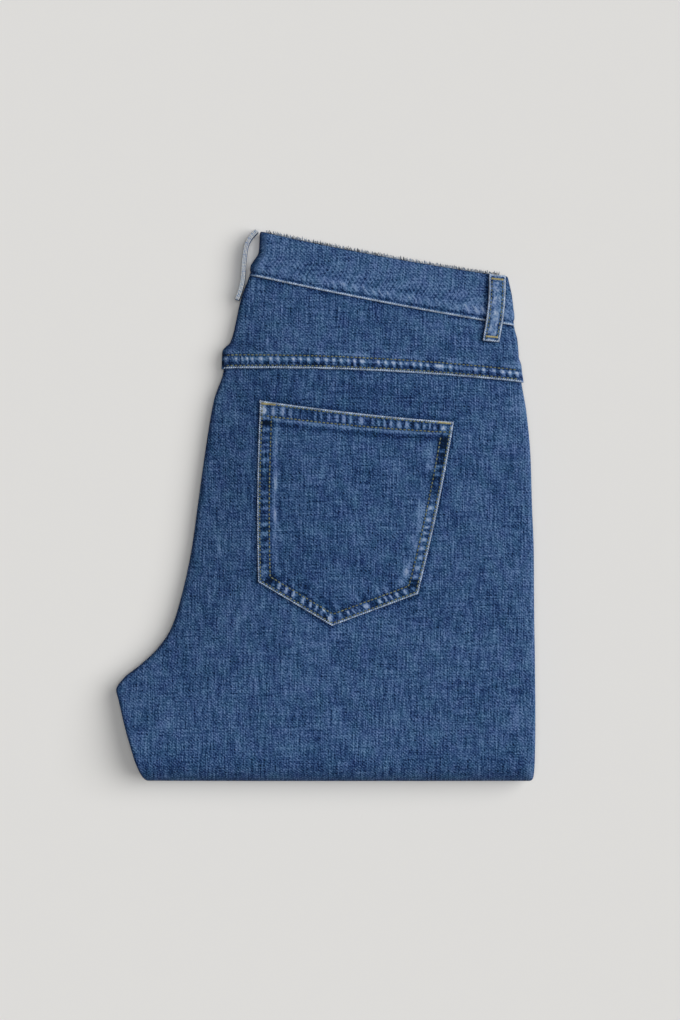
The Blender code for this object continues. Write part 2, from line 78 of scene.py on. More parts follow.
# One row for each line across the garment, waist first: its ends, how far its middle stands
# towards the waist, and the height of the cloth near its left end, middle and right end
SECTION_COLUMNS = ("name", "left_x", "left_y", "right_x", "right_y", "bow", "z_left", "z_mid", "z_right")
SECTIONS = (
    ("waist_edge", -53.0, 220.2, 145.8, 183.8, -2.2, 13.6, 15.2, 14.2),
    ("band_middle", -53.8, 204.6, 149.4, 167.0, -2.1, 13.6, 17.0, 15.2),
    ("band_low", -59.8, 193.4, 150.6, 155.0, -2.0, 13.6, 18.4, 16.4),
    ("band_seam", -61.4, 184.6, 151.0, 143.8, -1.9, 13.6, 19.4, 17.4),
    ("yoke_high", -67.8, 167.0, 153.4, 132.6, -0.5, 13.4, 22.0, 19.4),
    ("yoke_low", -76.4, 131.8, 154.4, 119.0, 2.2, 13.2, 25.6, 21.8),
    ("lap_top", -81.1, 123.8, 154.7, 111.0, 3.0, 13.2, 26.4, 22.6),
    ("lap_edge", -81.9, 109.8, 156.3, 98.6, 3.4, 13.2, 27.8, 24.0),
    ("pocket_mouth", -89.8, 84.6, 160.2, 75.0, 2.0, 13.4, 30.2, 26.4),
    ("seat_high", -96.6, 44.6, 163.4, 37.4, 1.0, 13.8, 32.6, 29.4),
    ("seat_middle", -102.2, 4.6, 164.4, 0.6, 0.4, 14.2, 33.8, 31.0),
    ("seat_low", -107.8, -35.4, 165.8, -37.0, 0.0, 14.6, 34.6, 32.0),
    ("seat_curve", -116.6, -75.4, 166.0, -76.2, 0.0, 15.4, 35.0, 32.4),
    ("seat_turn", -124.6, -99.4, 166.3, -99.4, 0.0, 16.2, 35.0, 32.6),
    ("fork_high", -135.8, -115.4, 166.6, -115.4, 0.0, 17.0, 35.0, 32.6),
    ("fork_middle", -148.6, -127.4, 166.7, -127.4, 0.0, 17.8, 35.0, 32.6),
    ("fork_low", -162.4, -138.6, 166.8, -138.6, 0.0, 18.6, 35.0, 32.6),
    ("fork_point", -167.8, -147.4, 166.9, -147.4, 0.0, 19.6, 34.9, 32.6),
    ("inseam_top", -165.8, -155.4, 167.0, -155.4, 0.0, 21.2, 34.8, 32.6),
    ("inseam_low", -159.8, -179.4, 167.0, -179.4, 0.0, 26.4, 34.6, 32.6),
    ("fold_start", -152.6, FOLD_Y, 166.6, FOLD_Y, 0.0, 30.0, 34.4, 32.4),
)
BASE_COLUMNS = ("y", "left_inset")
BASE_INSETS = (
    (FOLD_Y, 11.6),
    (-180.0, 18.0),
    (-155.0, 18.0),
    (-138.0, 13.0),
    (-115.0, 8.0),
    (-75.0, 4.0),
    (-35.0, 2.5),
    (240.0, 2.5),
)
BASE_RIGHT_INSET = 1.1
UNDER_COLUMNS = ("y", "left_x")
UNDER_LEG = (
    (FOLD_Y, -141.0),
    (-155.0, -112.0),
    (-75.0, -83.0),
    (5.0, -66.0),
    (85.0, -55.0),
    (140.0, -51.0),
)

# Waistband
FRONT_INSET = 11.0
BAND_PROUD = 0.8
BAND_LEFT_BULGE = 6.0

# Back pocket, its corners on the panel
POCKET_TOP_LEFT = (-52.3, 84.0)
POCKET_TOP_RIGHT = (102.0, 66.7)
POCKET_LOW_LEFT = (-53.8, -60.6)
POCKET_LOW_RIGHT = (73.3, -70.0)
POCKET_TIP = (5.0, -95.4)
POCKET_MOUTH_SAG = 1.6
POCKET_SIDE_BOW = 1.4
HEM_RISE = 0.7

# Belt loops
LOOP_WIDTH = 13.4
SIDE_LOOP_TOP = (137.4, 184.6)
SIDE_LOOP_LOW = (131.9, 131.4)
SIDE_LOOP_LIFT = 2.4
SIDE_LOOP_BOW = 1.4
BACK_LOOP_COLUMNS = ("x", "y")
BACK_LOOP_ROUTE = (
    (-55.3, 220.8),
    (-60.8, 214.8),
    (-63.4, 209.6),
    (-64.7, 204.0),
    (-65.9, 194.0),
    (-66.6, 182.0),
    (-68.6, 172.6),
    (-71.2, 165.4),
)
BACK_LOOP_BASE = 0.4

# Soft hollows and rises of the cloth, with painted shade in the hollows and in a few flat patches and painted
# light
# on the rises: middle, half length, half width, direction from +X in degrees, depth of the hollow, and how
# much paler the cloth is there
HOLLOW_COLUMNS = ("x", "y", "half_length", "half_width", "direction", "depth", "pale")
HOLLOWS = (
    (-104.0, -136.0, 22.0, 13.0, 20.0, 0.9, -0.075),
    (-44.0, -126.0, 16.0, 7.0, 85.0, 0.5, -0.05),
    (14.0, -160.0, 26.0, 7.0, -58.0, 0.6, -0.045),
    (131.0, -87.0, 22.0, 14.0, 80.0, 0.5, -0.04),
    (148.0, -33.0, 12.0, 12.0, 0.0, -0.3, 0.06),
    (92.0, -138.0, 26.0, 9.0, 60.0, -0.4, 0.03),
    (-62.0, -84.0, 20.0, 10.0, 10.0, -0.3, 0.045),
    (-94.0, -20.0, 20.0, 8.0, 75.0, 0.3, -0.03),
    (-84.0, 14.0, 26.0, 6.0, 80.0, 0.3, 0.0),
    (128.0, 12.0, 26.0, 10.0, 75.0, -0.2, 0.035),
    (122.0, 58.0, 18.0, 9.0, 10.0, 0.3, -0.02),
    (-118.0, -178.0, 24.0, 10.0, 15.0, -0.4, 0.035),
    (60.0, -176.0, 40.0, 10.0, 4.0, 0.3, 0.02),
    (126.0, -172.0, 14.0, 12.0, 80.0, -0.3, 0.035),
    (30.0, 150.0, 46.0, 8.0, -18.0, 0.5, -0.045),
    (88.0, 137.0, 24.0, 10.0, -8.0, -0.4, 0.05),
    (-38.0, 158.0, 20.0, 10.0, 70.0, -0.3, 0.03),
    (118.0, 128.0, 16.0, 8.0, 60.0, 0.4, -0.03),
    (10.0, 92.0, 90.0, 11.0, -5.0, 0.0, -0.13),
    (-70.0, 30.0, 60.0, 12.0, 85.0, 0.0, -0.035),
)

# Faded and darker spots of the pocket's seams, in the same columns
POCKET_SPOTS = (
    (-43.6, -59.2, 4.2, 2.6, 35.0, 0.2, -0.75),
    (-50.2, -51.0, 3.0, 2.6, 80.0, -0.2, 0.55),
    (-48.6, -40.0, 2.6, 2.2, 80.0, -0.1, 0.3),
    (71.0, -61.5, 4.4, 3.4, -20.0, 0.2, -0.7),
    (64.6, -53.0, 6.5, 2.6, 75.0, -0.2, 0.6),
    (71.5, -33.0, 8.0, 2.4, 80.0, -0.2, 0.5),
    (76.0, -12.0, 9.0, 2.8, 80.0, -0.2, 0.45),
    (76.0, -42.0, 5.0, 2.4, 80.0, 0.1, 0.3),
    (82.0, -4.0, 5.0, 2.2, 78.0, 0.1, 0.25),
    (-48.2, 66.6, 4.6, 3.0, 0.0, 0.2, -0.6),
    (-48.0, 75.6, 3.2, 2.4, 0.0, -0.2, 0.6),
    (-38.6, 74.8, 2.6, 2.2, 0.0, -0.2, 0.5),
    (94.4, 61.6, 3.4, 2.4, 15.0, -0.2, 0.75),
    (90.0, 62.4, 2.0, 3.0, 80.0, 0.1, -0.4),
    (93.0, 44.0, 14.0, 4.2, 80.0, 0.2, -0.3),
    (87.6, 29.0, 2.6, 2.0, 0.0, -0.2, 0.5),
    (81.0, 30.0, 4.0, 3.0, 80.0, -0.1, 0.2),
    (86.0, 18.0, 9.0, 3.6, 78.0, 0.2, -0.2),
)

# Worn and shaded lines along each seam: distance inside its edge, half width, and how much paler
SEAM_TONES = {
    "left": ((0.6, 1.0, 0.34), (5.0, 2.4, 0.08), (10.6, 1.1, -0.13), (14.3, 1.6, 0.55), (17.4, 1.3, -0.1)),
    "right": ((0.6, 1.0, 0.38), (3.6, 1.3, -0.17), (8.2, 1.4, -0.17), (13.8, 2.6, 0.1)),
    "low_left": ((0.6, 1.0, 0.32), (3.0, 0.7, -0.16), (10.2, 0.8, -0.06), (11.8, 1.2, 0.1),
                 (16.2, 2.0, -0.08)),
    "low_right": ((0.6, 1.0, 0.2), (7.8, 0.8, -0.18), (10.2, 0.9, -0.24), (14.0, 4.0, -0.06)),
    "mouth": ((0.6, 1.0, 0.3), (2.2, 0.7, 0.12)),
    "hem": ((-0.5, 0.7, -0.1), (1.7, 1.1, 0.46), (5.6, 2.3, -0.32)),
    "yoke": ((4.2, 1.1, -0.22), (7.3, 1.3, 0.5), (12.6, 1.3, 0.16)),
    "waistband": ((0.6, 0.9, 0.45), (3.0, 1.1, -0.36), (9.2, 2.2, 0.14)),
}

# Share of the deep indigo's red, green and blue that is left in the shade between two yarns
DARKEST_SHARES = (0.8, 0.6, 0.42)

# Where each piece was cut from the cloth, far enough apart that no two show the same yarns
CLOTH_PLACES = {"yoke": 300.0, "waistband": 700.0, "back_loop": 800.0, "side_loop": 900.0, "pocket": 1100.0}

# How far the pocket's stitch rows pull into the cloth
ROW_DEPTH = 0.32
ROW_HALF_WIDTH = 0.8

# The mitre in the pocket's tip runs up and to the left by this much
MITRE_REACH = (7.4, 15.4)

# The side loop's stitch rows and its worn rims, measured in from its sides
LOOP_ROW_INSET = 2.3
LOOP_RIM_INSET = 0.7

RANDOM_SEED = 7


# Sizes and colours that a user would change

class JeansCloth(bpy.types.PropertyGroup):
    """Colours and wear of the denim."""
    deep: FloatVectorProperty(
        name="Deep indigo", description="Darkest yarn of the denim's face", subtype="COLOR",
        size=3, min=0.0, max=1.0, default=(0.0030, 0.0150, 0.058))
    middle: FloatVectorProperty(
        name="Indigo", description="Denim's usual colour", subtype="COLOR",
        size=3, min=0.0, max=1.0, default=(0.0290, 0.0740, 0.172))
    pale: FloatVectorProperty(
        name="Pale indigo", description="Lightest yarn of the denim's face", subtype="COLOR",
        size=3, min=0.0, max=1.0, default=(0.125, 0.206, 0.365))
    cream: FloatVectorProperty(
        name="Worn white", description="Colour of yarn that has lost its dye", subtype="COLOR",
        size=3, min=0.0, max=1.0, default=(0.40, 0.47, 0.58))
    relief: FloatProperty(
        name="Relief", description="How strongly the soft hollows show", min=0.0, max=3.0,
        subtype="FACTOR", default=1.0)


class JeansStitching(bpy.types.PropertyGroup):
    """Sizes and colours of the thread."""
    pitch: FloatProperty(
        name="Stitch pitch", description="Distance between stitches", unit="LENGTH",
        min=0.001, max=0.01, precision=4, default=3.2 * MM)
    length: FloatProperty(
        name="Stitch length", description="Part of the pitch that shows", unit="LENGTH",
        min=0.001, max=0.01, precision=4, default=2.5 * MM)
    width: FloatProperty(
        name="Thread width", description="Width of one stitch", unit="LENGTH",
        min=0.0002, max=0.003, precision=4, default=1.2 * MM)
    olive: FloatVectorProperty(
        name="Olive thread", description="Colour of the seams' thread", subtype="COLOR",
        size=3, min=0.0, max=1.0, default=(0.165, 0.19, 0.125))
    gold: FloatVectorProperty(
        name="Gold thread", description="Colour of the bar tacks", subtype="COLOR",
        size=3, min=0.0, max=1.0, default=(0.50, 0.44, 0.22))


class JeansStage(bpy.types.PropertyGroup):
    """Floor, light and camera."""
    floor: FloatVectorProperty(
        name="Floor", description="Colour of the floor", subtype="COLOR",
        size=3, min=0.0, max=1.0, default=(0.715, 0.708, 0.694))
    key: FloatProperty(
        name="Key light", description="Strength of the light from the upper right", min=0.0,
        max=20.0, default=2.55)
    top: FloatProperty(
        name="Top light", description="Strength of the light from straight above", min=0.0,
        max=20.0, default=1.1)
    fill: FloatProperty(
        name="Fill light", description="Strength of the light from all round", min=0.0,
        max=5.0, default=0.07)
    camera_height: FloatProperty(
        name="Camera height", description="Height of the camera over the floor", unit="LENGTH",
        min=0.5, max=10.0, default=2.6)
    picture_height: FloatProperty(
        name="Picture height", description="Height of what the picture shows at the cloth",
        unit="LENGTH", min=0.1, max=5.0, default=0.816)


# Curves and noise

def column(table, columns, name):
    """One named column of a table, as an array."""
    return np.array([row[columns.index(name)] for row in table], float)


def curve_through(knots, values, at):
    """Smooth values at some places, through the knots and never past their values."""
    knots = np.asarray(knots, float)
    values = np.asarray(values, float)
    spans = np.diff(knots)
    rates = np.diff(values) / spans
    slopes = np.zeros(len(knots))
    slopes[0] = rates[0]
    slopes[-1] = rates[-1]
    for i in range(1, len(knots) - 1):
        if rates[i - 1] * rates[i] > 0.0:
            before = 2.0 * spans[i] + spans[i - 1]
            after = spans[i] + 2.0 * spans[i - 1]
            slopes[i] = (before + after) / (before / rates[i - 1] + after / rates[i])
    at = np.clip(at, knots[0], knots[-1])
    i = np.minimum(np.searchsorted(knots, at, side="right") - 1, len(spans) - 1)
    t = (at - knots[i]) / spans[i]
    rise = values[i + 1] - values[i]
    start = slopes[i] * spans[i]
    end = slopes[i + 1] * spans[i]
    square = t * t * (3.0 * rise - 2.0 * start - end)
    return values[i] + t * start + square + t ** 3 * (start + end - 2.0 * rise)


def smooth_step(t):
    """0 to 1 with level ends."""
    t = np.clip(t, 0.0, 1.0)
    return t * t * (3.0 - 2.0 * t)


def band_pass(value, low, high, edge):
    """1 between two values and 0 outside them, with soft edges."""
    return smooth_step((value - low) / edge + 0.5) * smooth_step((high - value) / edge + 0.5)


def soft_noise(x, y, size, seed):
    """Smooth noise from -1 to 1, with bumps about size across."""
    lattice = np.random.default_rng(seed).uniform(-1.0, 1.0, (64, 64))
    across = np.asarray(x, float) / size + 1000.0
    down = np.asarray(y, float) / size + 1000.0
    i = np.floor(across).astype(int)
    j = np.floor(down).astype(int)
    s = smooth_step(across - i)
    t = smooth_step(down - j)
    i0, i1, j0, j1 = i % 64, (i + 1) % 64, j % 64, (j + 1) % 64
    near = lattice[i0, j0] * (1.0 - s) + lattice[i1, j0] * s
    far = lattice[i0, j1] * (1.0 - s) + lattice[i1, j1] * s
    return near * (1.0 - t) + far * t


def pucker(along, pitch, seed):
    """Uneven ripple along a seam, from -1 to 1."""
    wander = soft_noise(along, 0.0, pitch * 2.2, seed)
    wave = np.sin(2.0 * np.pi * along / pitch + 4.2 * wander)
    size = 0.62 + 0.6 * soft_noise(along, 50.0, pitch * 1.3, seed + 1)
    return wave * np.clip(size, 0.08, 1.0)


def hollows(x, y, spots=HOLLOWS):
    """Depth and paleness of the soft hollows at some places; in HOLLOWS the paleness is painted shade in the
    hollows and painted light on the rises.
    """
    depth = np.zeros(np.shape(x))
    pale = np.zeros(np.shape(x))
    for spot in spots:
        row = dict(zip(HOLLOW_COLUMNS, spot))
        turn = math.radians(row["direction"])
        along = (x - row["x"]) * math.cos(turn) + (y - row["y"]) * math.sin(turn)
        aside = -(x - row["x"]) * math.sin(turn) + (y - row["y"]) * math.cos(turn)
        bell = np.exp(-(along / row["half_length"]) ** 2 - (aside / row["half_width"]) ** 2)
        depth += row["depth"] * bell
        pale += row["pale"] * bell
    return depth, pale


def seam_tone(name, distance):
    """Paleness along a seam at some distances inside its edge."""
    return sum(pale * np.exp(-((distance - middle) / half_width) ** 2)
               for middle, half_width, pale in SEAM_TONES[name])


def cloth_relief(x, y):
    """How far the cloth lies off its even form, in millimetres."""
    depth, _ = hollows(x, y)
    waves = 0.32 * soft_noise(x, y, 34.0, 11) + 0.16 * soft_noise(x, y, 13.0, 12)
    waves += 0.05 * soft_noise(x, y, 5.0, 13)
    return bpy.context.scene.jeans_cloth.relief * (waves - depth)


def shading_and_tone(x, y):
    """How much paler the cloth is at some places than its usual colour: painted shade and painted light of
    the soft hollows, with uneven dye.
    """
    _, pale = hollows(x, y)
    return pale + 0.018 * soft_noise(x, y, 26.0, 21) + 0.012 * soft_noise(x, y, 11.0, 22)


# Lines across the garment, as in the part's source

def section_places():
    """How far down the garment each row of SECTIONS lies."""
    ends = [column(SECTIONS, SECTION_COLUMNS, name) for name in ("left_x", "left_y", "right_x", "right_y")]
    left = np.hypot(np.diff(ends[0]), np.diff(ends[1]))
    right = np.hypot(np.diff(ends[2]), np.diff(ends[3]))
    return np.concatenate(([0.0], np.cumsum(0.5 * (left + right))))


DOWN = section_places()
SECTION_NAMES = [row[0] for row in SECTIONS]
SECTION_CURVES = {name: column(SECTIONS, SECTION_COLUMNS, name) for name in SECTION_COLUMNS[1:]}


def down_at(name):
    """Distance down the garment of a named row."""
    return float(DOWN[SECTION_NAMES.index(name)])


def section_value(name, down):
    """A column of SECTIONS at any distance down the garment."""
    return curve_through(DOWN, SECTION_CURVES[name], down)


def edge_turn(down):
    """Turn of the left edge: wide round the seat fold, tight along the inseam."""
    fork = down_at("fork_middle")
    share = float(smooth_step((down - fork) / (down_at("inseam_top") - fork)))
    turn_in = SEAT_TURN_IN + (SIDE_TURN_IN - SEAT_TURN_IN) * share
    turn_down = SEAT_TURN_DOWN + (SIDE_TURN_DOWN - SEAT_TURN_DOWN) * share
    return turn_in, turn_down, share


def edge_slant(down):
    """How much thicker a wall along the left edge measures across the garment than square to it."""
    reach = 4.0
    run = section_value("left_x", down + reach) - section_value("left_x", down - reach)
    rise = section_value("left_y", down + reach) - section_value("left_y", down - reach)
    return min(math.hypot(run, rise) / abs(rise), MOST_SLANT)


class UpperLine:
    """A line across the upper side of the garment."""

    def __init__(self, down):
        self.down = down
        self.values = {name: float(section_value(name, down)) for name in SECTION_COLUMNS[1:]}
        self.left = self.values["left_x"]
        self.right = self.values["right_x"]
        self.outer = (self.left, self.right)
        self.turn_in, self.turn_down, self.layered = edge_turn(down)
        self.left_turned = 1.0
        self.slant = edge_slant(down)
        self.relief = 1.0

    def height(self, u):
        values = self.values
        left = np.maximum(0.0, 1.0 - u / LEFT_FALL) ** 2
        right = np.maximum(0.0, 1.0 - (1.0 - u) / RIGHT_FALL) ** 2
        return (values["z_mid"] - (values["z_mid"] - values["z_left"]) * left
                - (values["z_mid"] - values["z_right"]) * right)

    def half(self, u):
        return 0.5 * self.height(u)

    def along(self, x):
        """Distance towards the waist at some places on the line."""
        values = self.values
        u = np.clip((x - self.outer[0]) / (self.outer[1] - self.outer[0]), 0.0, 1.0)
        bow = 4.0 * values["bow"] * u * (1.0 - u)
        return values["left_y"] + (values["right_y"] - values["left_y"]) * u + bow

    def place(self, x, depth):
        x = np.asarray(x, float)
        u = np.clip((x - self.left) / (self.right - self.left), 0.0, 1.0)
        y = self.along(x)
        return np.stack([x, y, self.height(u) - depth + 0.0 * x], axis=-1)


class FoldLine(UpperLine):
    """A line along the bottom fold, angle 0 above and 180 below."""

    def __init__(self, angle):
        super().__init__(down_at("fold_start"))
        self.angle = math.radians(angle)
        self.left += BASE_INSETS[0][1] * math.sin(0.5 * self.angle)
        self.right -= BASE_RIGHT_INSET * math.sin(0.5 * self.angle)
        self.left_turned = 1.0 - float(smooth_step((angle - 100.0) / 60.0))
        self.slant = 1.0
        self.relief = float(1.0 - smooth_step((angle - 90.0) / 60.0))

    def place(self, x, depth):
        x = np.asarray(x, float)
        u = np.clip((x - self.left) / (self.right - self.left), 0.0, 1.0)
        half = self.half(u)
        y = FOLD_Y - (FOLD_REACH - depth) * math.sin(self.angle)
        return np.stack([x, y + 0.0 * x, half + (half - depth) * math.cos(self.angle)], axis=-1)


class UnderLine(UpperLine):
    """A line across the leg that lies under the pile."""

    def __init__(self, down):
        super().__init__(down)
        self.y = self.values["right_y"]
        knots = column(UNDER_LEG, UNDER_COLUMNS, "y")
        self.left = float(curve_through(knots, column(UNDER_LEG, UNDER_COLUMNS, "left_x"), self.y))
        self.right -= BASE_RIGHT_INSET
        self.turn_in, self.turn_down, self.layered = edge_turn(down_at("fold_start"))
        self.left_turned = 0.0
        self.relief = 0.0

    def place(self, x, depth):
        x = np.asarray(x, float)
        return np.stack([x, self.y + 0.0 * x, depth + 0.0 * x], axis=-1)


class BaseLine(UpperLine):
    """A line across the pile's flat underside."""

    def __init__(self, down):
        super().__init__(down)
        knots = column(BASE_INSETS, BASE_COLUMNS, "y")
        inset = column(BASE_INSETS, BASE_COLUMNS, "left_inset")
        self.base_left = self.outer[0] + float(curve_through(knots, inset, self.values["left_y"]))
        self.base_right = self.outer[1] - BASE_RIGHT_INSET

    def reach(self, share):
        """Ends of the line as it rises from the base to the middle of the pile."""
        share = float(smooth_step(share))
        self.left = self.base_left + (self.outer[0] - self.base_left) * share
        self.right = self.base_right + (self.outer[1] - self.base_right) * share

    def place(self, x, depth):
        x = np.asarray(x, float)
        return np.stack([x, self.along(x), depth + 0.0 * x], axis=-1)


def turned_edge(edge_x, side, turn_in, turn_down, angle, out):
    """Points on an edge that turns down: side is -1 left, 1 right; out moves it off the cloth."""
    across = np.sin(np.radians(angle))
    along = np.cos(np.radians(angle))
    return edge_x - side * turn_in + side * (turn_in + out) * across, turn_down - (turn_down + out) * along


EDGE_ANGLES = np.linspace(90.0, 0.0, 8)[:-1]


def panel_line(line, shares, out=0.0):
    """Points across a panel from its left seam to its right seam, both edges turned down."""
    x, depth = turned_edge(line.left, -1, line.turn_in, line.turn_down, EDGE_ANGLES, out)
    flat_x = line.left + line.turn_in * (1.0 - EDGE_ANGLES / 90.0)
    turned = line.left_turned
    parts = [line.place(flat_x + (x - flat_x) * turned, -out + (depth + out) * turned)]
    start = line.left + line.turn_in
    width = line.right - SIDE_TURN_IN - start
    parts.append(line.place(start + shares * width, -out))
    x, depth = turned_edge(line.right, 1, SIDE_TURN_IN, SIDE_TURN_DOWN, EDGE_ANGLES[::-1], out)
    parts.append(line.place(x, depth))
    return np.concatenate(parts)


# Meshes

def tidy_name(name):
    old = bpy.data.objects.get(name)
    if old is not None:
        bpy.data.objects.remove(old, do_unlink=True)
    return name


def new_piece(name, points, faces, material, cloth_mm=None, wear_and_shading=None):
    """Mesh piece that rides on the garment, with its weave coordinates, and its wear and painted shading."""
    mesh = bpy.data.meshes.new(name)
    mesh.from_pydata((np.asarray(points, float) * MM).tolist(), [], [tuple(face) for face in faces])
    mesh.update()
    if cloth_mm is not None:
        layer = mesh.uv_layers.new(name="cloth_mm")
        corners = np.zeros(len(mesh.loops), np.int32)
        mesh.loops.foreach_get("vertex_index", corners)
        layer.data.foreach_set("uv", np.asarray(cloth_mm, np.float32)[corners].ravel())
    if wear_and_shading is not None:
        mesh.attributes.new("wear_and_shading", "FLOAT", "POINT").data.foreach_set("value", np.asarray(wear_and_shading, np.float32))
    mesh.shade_smooth()
    thing = bpy.data.objects.new(tidy_name(name), mesh)
    bpy.context.scene.collection.objects.link(thing)
    mesh.materials.append(material)
    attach(thing, BODY)
    return thing


def grid_faces(rows, columns, close_rows=False, close_columns=False, start=0):
    """Quads of a grid of points, as an array."""
    i = np.arange(rows if close_rows else rows - 1)
    j = np.arange(columns if close_columns else columns - 1)
    i, j = np.meshgrid(i, j, indexing="ij")
    i_next = (i + 1) % rows
    j_next = (j + 1) % columns
    corners = [i * columns + j, i_next * columns + j, i_next * columns + j_next, i * columns + j_next]
    return np.stack([corner.ravel() for corner in corners], axis=-1) + start


def grid_normals(grid):
    """Unit normals of a grid of points."""
    along = np.gradient(grid, axis=0)
    across = np.gradient(grid, axis=1)
    normals = np.cross(along, across)
    return normals / np.maximum(np.linalg.norm(normals, axis=-1, keepdims=True), 1e-9)


def unit(vectors):
    return vectors / np.maximum(np.linalg.norm(vectors, axis=-1, keepdims=True), 1e-9)


def sheet_piece(name, grid, wall, cloth_mm, wear_and_shading, material, rim_round=0.32):
    """Closed sheet of cloth whose outer side is the grid, with rounded edges all round."""
    rows, columns, _ = grid.shape
    normals = grid_normals(grid)
    inner = grid - normals * wall
    loop = [(0, j) for j in range(columns)]
    loop += [(i, columns - 1) for i in range(1, rows)]
    loop += [(rows - 1, j) for j in range(columns - 2, -1, -1)]
    loop += [(i, 0) for i in range(rows - 2, 0, -1)]
    loop = np.array(loop)
    i, j = loop[:, 0], loop[:, 1]
    towards_i = np.clip(i, 1, rows - 2)
    towards_j = np.clip(j, 1, columns - 2)
    outward = unit(grid[i, j] - grid[towards_i, towards_j])
    middle = 0.5 * (grid[i, j] + inner[i, j]) + outward * wall * rim_round
    count = rows * columns
    points = np.concatenate([grid.reshape(-1, 3), inner.reshape(-1, 3), middle])
    points[:, 2] = np.maximum(points[:, 2], 0.0)
    flat_uv = cloth_mm.reshape(-1, 2)
    flat_wear_and_shading = wear_and_shading.reshape(-1)
    edge = i * columns + j
    uvs = np.concatenate([flat_uv, flat_uv, flat_uv[edge]])
    wear_and_shading_values = np.concatenate([flat_wear_and_shading, flat_wear_and_shading, flat_wear_and_shading[edge]])
    top = grid_faces(rows, columns)
    bottom = grid_faces(rows, columns, start=count)[:, ::-1]
    length = len(edge)
    here = np.arange(length)
    there = (here + 1) % length
    mid_here = here + 2 * count
    mid_there = there + 2 * count
    upper_rim = np.stack([edge[here], edge[there], mid_there, mid_here], axis=-1)
    lower_rim = np.stack([mid_here, mid_there, edge[there] + count, edge[here] + count], axis=-1)
    faces = np.concatenate([top, bottom, upper_rim, lower_rim]).tolist()
    return new_piece(name, points, faces, material, uvs, wear_and_shading_values)


def cloth_places(grid, line_places):
    """Weave coordinates in millimetres: across the cloth, and along it from the waist."""
    steps = np.linalg.norm(np.diff(grid, axis=1), axis=-1)
    reach = np.concatenate([np.zeros((len(grid), 1)), np.cumsum(steps, axis=1)], axis=1)
    middle = grid.shape[1] // 2
    across = reach - reach[:, middle:middle + 1] + grid[:, middle:middle + 1, 0]
    return np.stack([across, line_places], axis=-1)


def surface_tree(grid):
    """Surface to cast on, from a grid of points in millimetres."""
    rows, columns, _ = grid.shape
    points = [Vector(point) for point in (grid.reshape(-1, 3)).tolist()]
    return BVHTree.FromPolygons(points, grid_faces(rows, columns).tolist())


SURFACES = {}
SKY = 200.0


def spot_on(surfaces, x, y):
    """Highest point and normal of some named surfaces at a place."""
    best, best_normal = None, None
    for name in surfaces:
        hit, normal, _, _ = SURFACES[name].ray_cast(Vector((x, y, SKY)), Vector((0.0, 0.0, -1.0)))
        if hit is not None and (best is None or hit.z > best):
            best, best_normal = hit.z, normal
    if best_normal is not None and best_normal.z < 0.0:
        best_normal = -best_normal
    return best, best_normal


def heights_on(surfaces, x, y):
    """Heights of some surfaces at many places, and nan where there is none."""
    found = [spot_on(surfaces, float(a), float(b))[0] for a, b in zip(np.ravel(x), np.ravel(y))]
    return np.array([math.nan if z is None else z for z in found]).reshape(np.shape(x))


# Materials

class Nodes:
    """Short way to make and join the nodes of one material."""

    def __init__(self, name):
        old = bpy.data.materials.get(name)
        if old is not None:
            bpy.data.materials.remove(old)
        self.material = bpy.data.materials.new(name)
        self.material.use_nodes = True
        self.tree = self.material.node_tree
        self.shader = self.tree.nodes["Principled BSDF"]

    def node(self, kind, settings=None, **inputs):
        made = self.tree.nodes.new(kind)
        for key, value in (settings or {}).items():
            setattr(made, key, value)
        for key, value in inputs.items():
            self.feed(made.inputs[key], value)
        return made

    def feed(self, socket, value):
        if isinstance(value, bpy.types.NodeSocket):
            self.tree.links.new(value, socket)
        else:
            socket.default_value = value

    def math(self, operation, first, second=0.0, third=None):
        made = self.tree.nodes.new("ShaderNodeMath")
        made.operation = operation
        self.feed(made.inputs[0], first)
        self.feed(made.inputs[1], second)
        if third is not None:
            self.feed(made.inputs[2], third)
        return made.outputs[0]

    def stretched(self, places, across, along):
        """Weave coordinates scaled differently across and along the cloth."""
        made = self.tree.nodes.new("ShaderNodeVectorMath")
        made.operation = "MULTIPLY"
        self.feed(made.inputs[0], places)
        made.inputs[1].default_value = (across, along, 1.0)
        return made.outputs[0]

    def noise(self, places, scale, detail=0.0, roughness=0.5):
        made = self.node("ShaderNodeTexNoise", {"noise_dimensions": "2D"}, Vector=places, Scale=scale,
                         Detail=detail, Roughness=roughness)
        return made.outputs["Fac"]

    def blend_colours(self, share, first, second):
        made = self.tree.nodes.new("ShaderNodeMix")
        made.data_type = "RGBA"
        sockets = [socket for socket in made.inputs if socket.type == "RGBA"]
        self.feed(made.inputs[0], share)
        self.feed(sockets[0], first)
        self.feed(sockets[1], second)
        return [socket for socket in made.outputs if socket.type == "RGBA"][0]


def four(colour):
    return tuple(colour) + (1.0,)


def half_way(first, second):
    """Colour half way between two, as dye looks."""
    return tuple(math.sqrt(a * b) for a, b in zip(first, second))


WARP_PITCH = 0.8
PICK_PITCH = 0.6
TWILL_FLOAT = 4.0


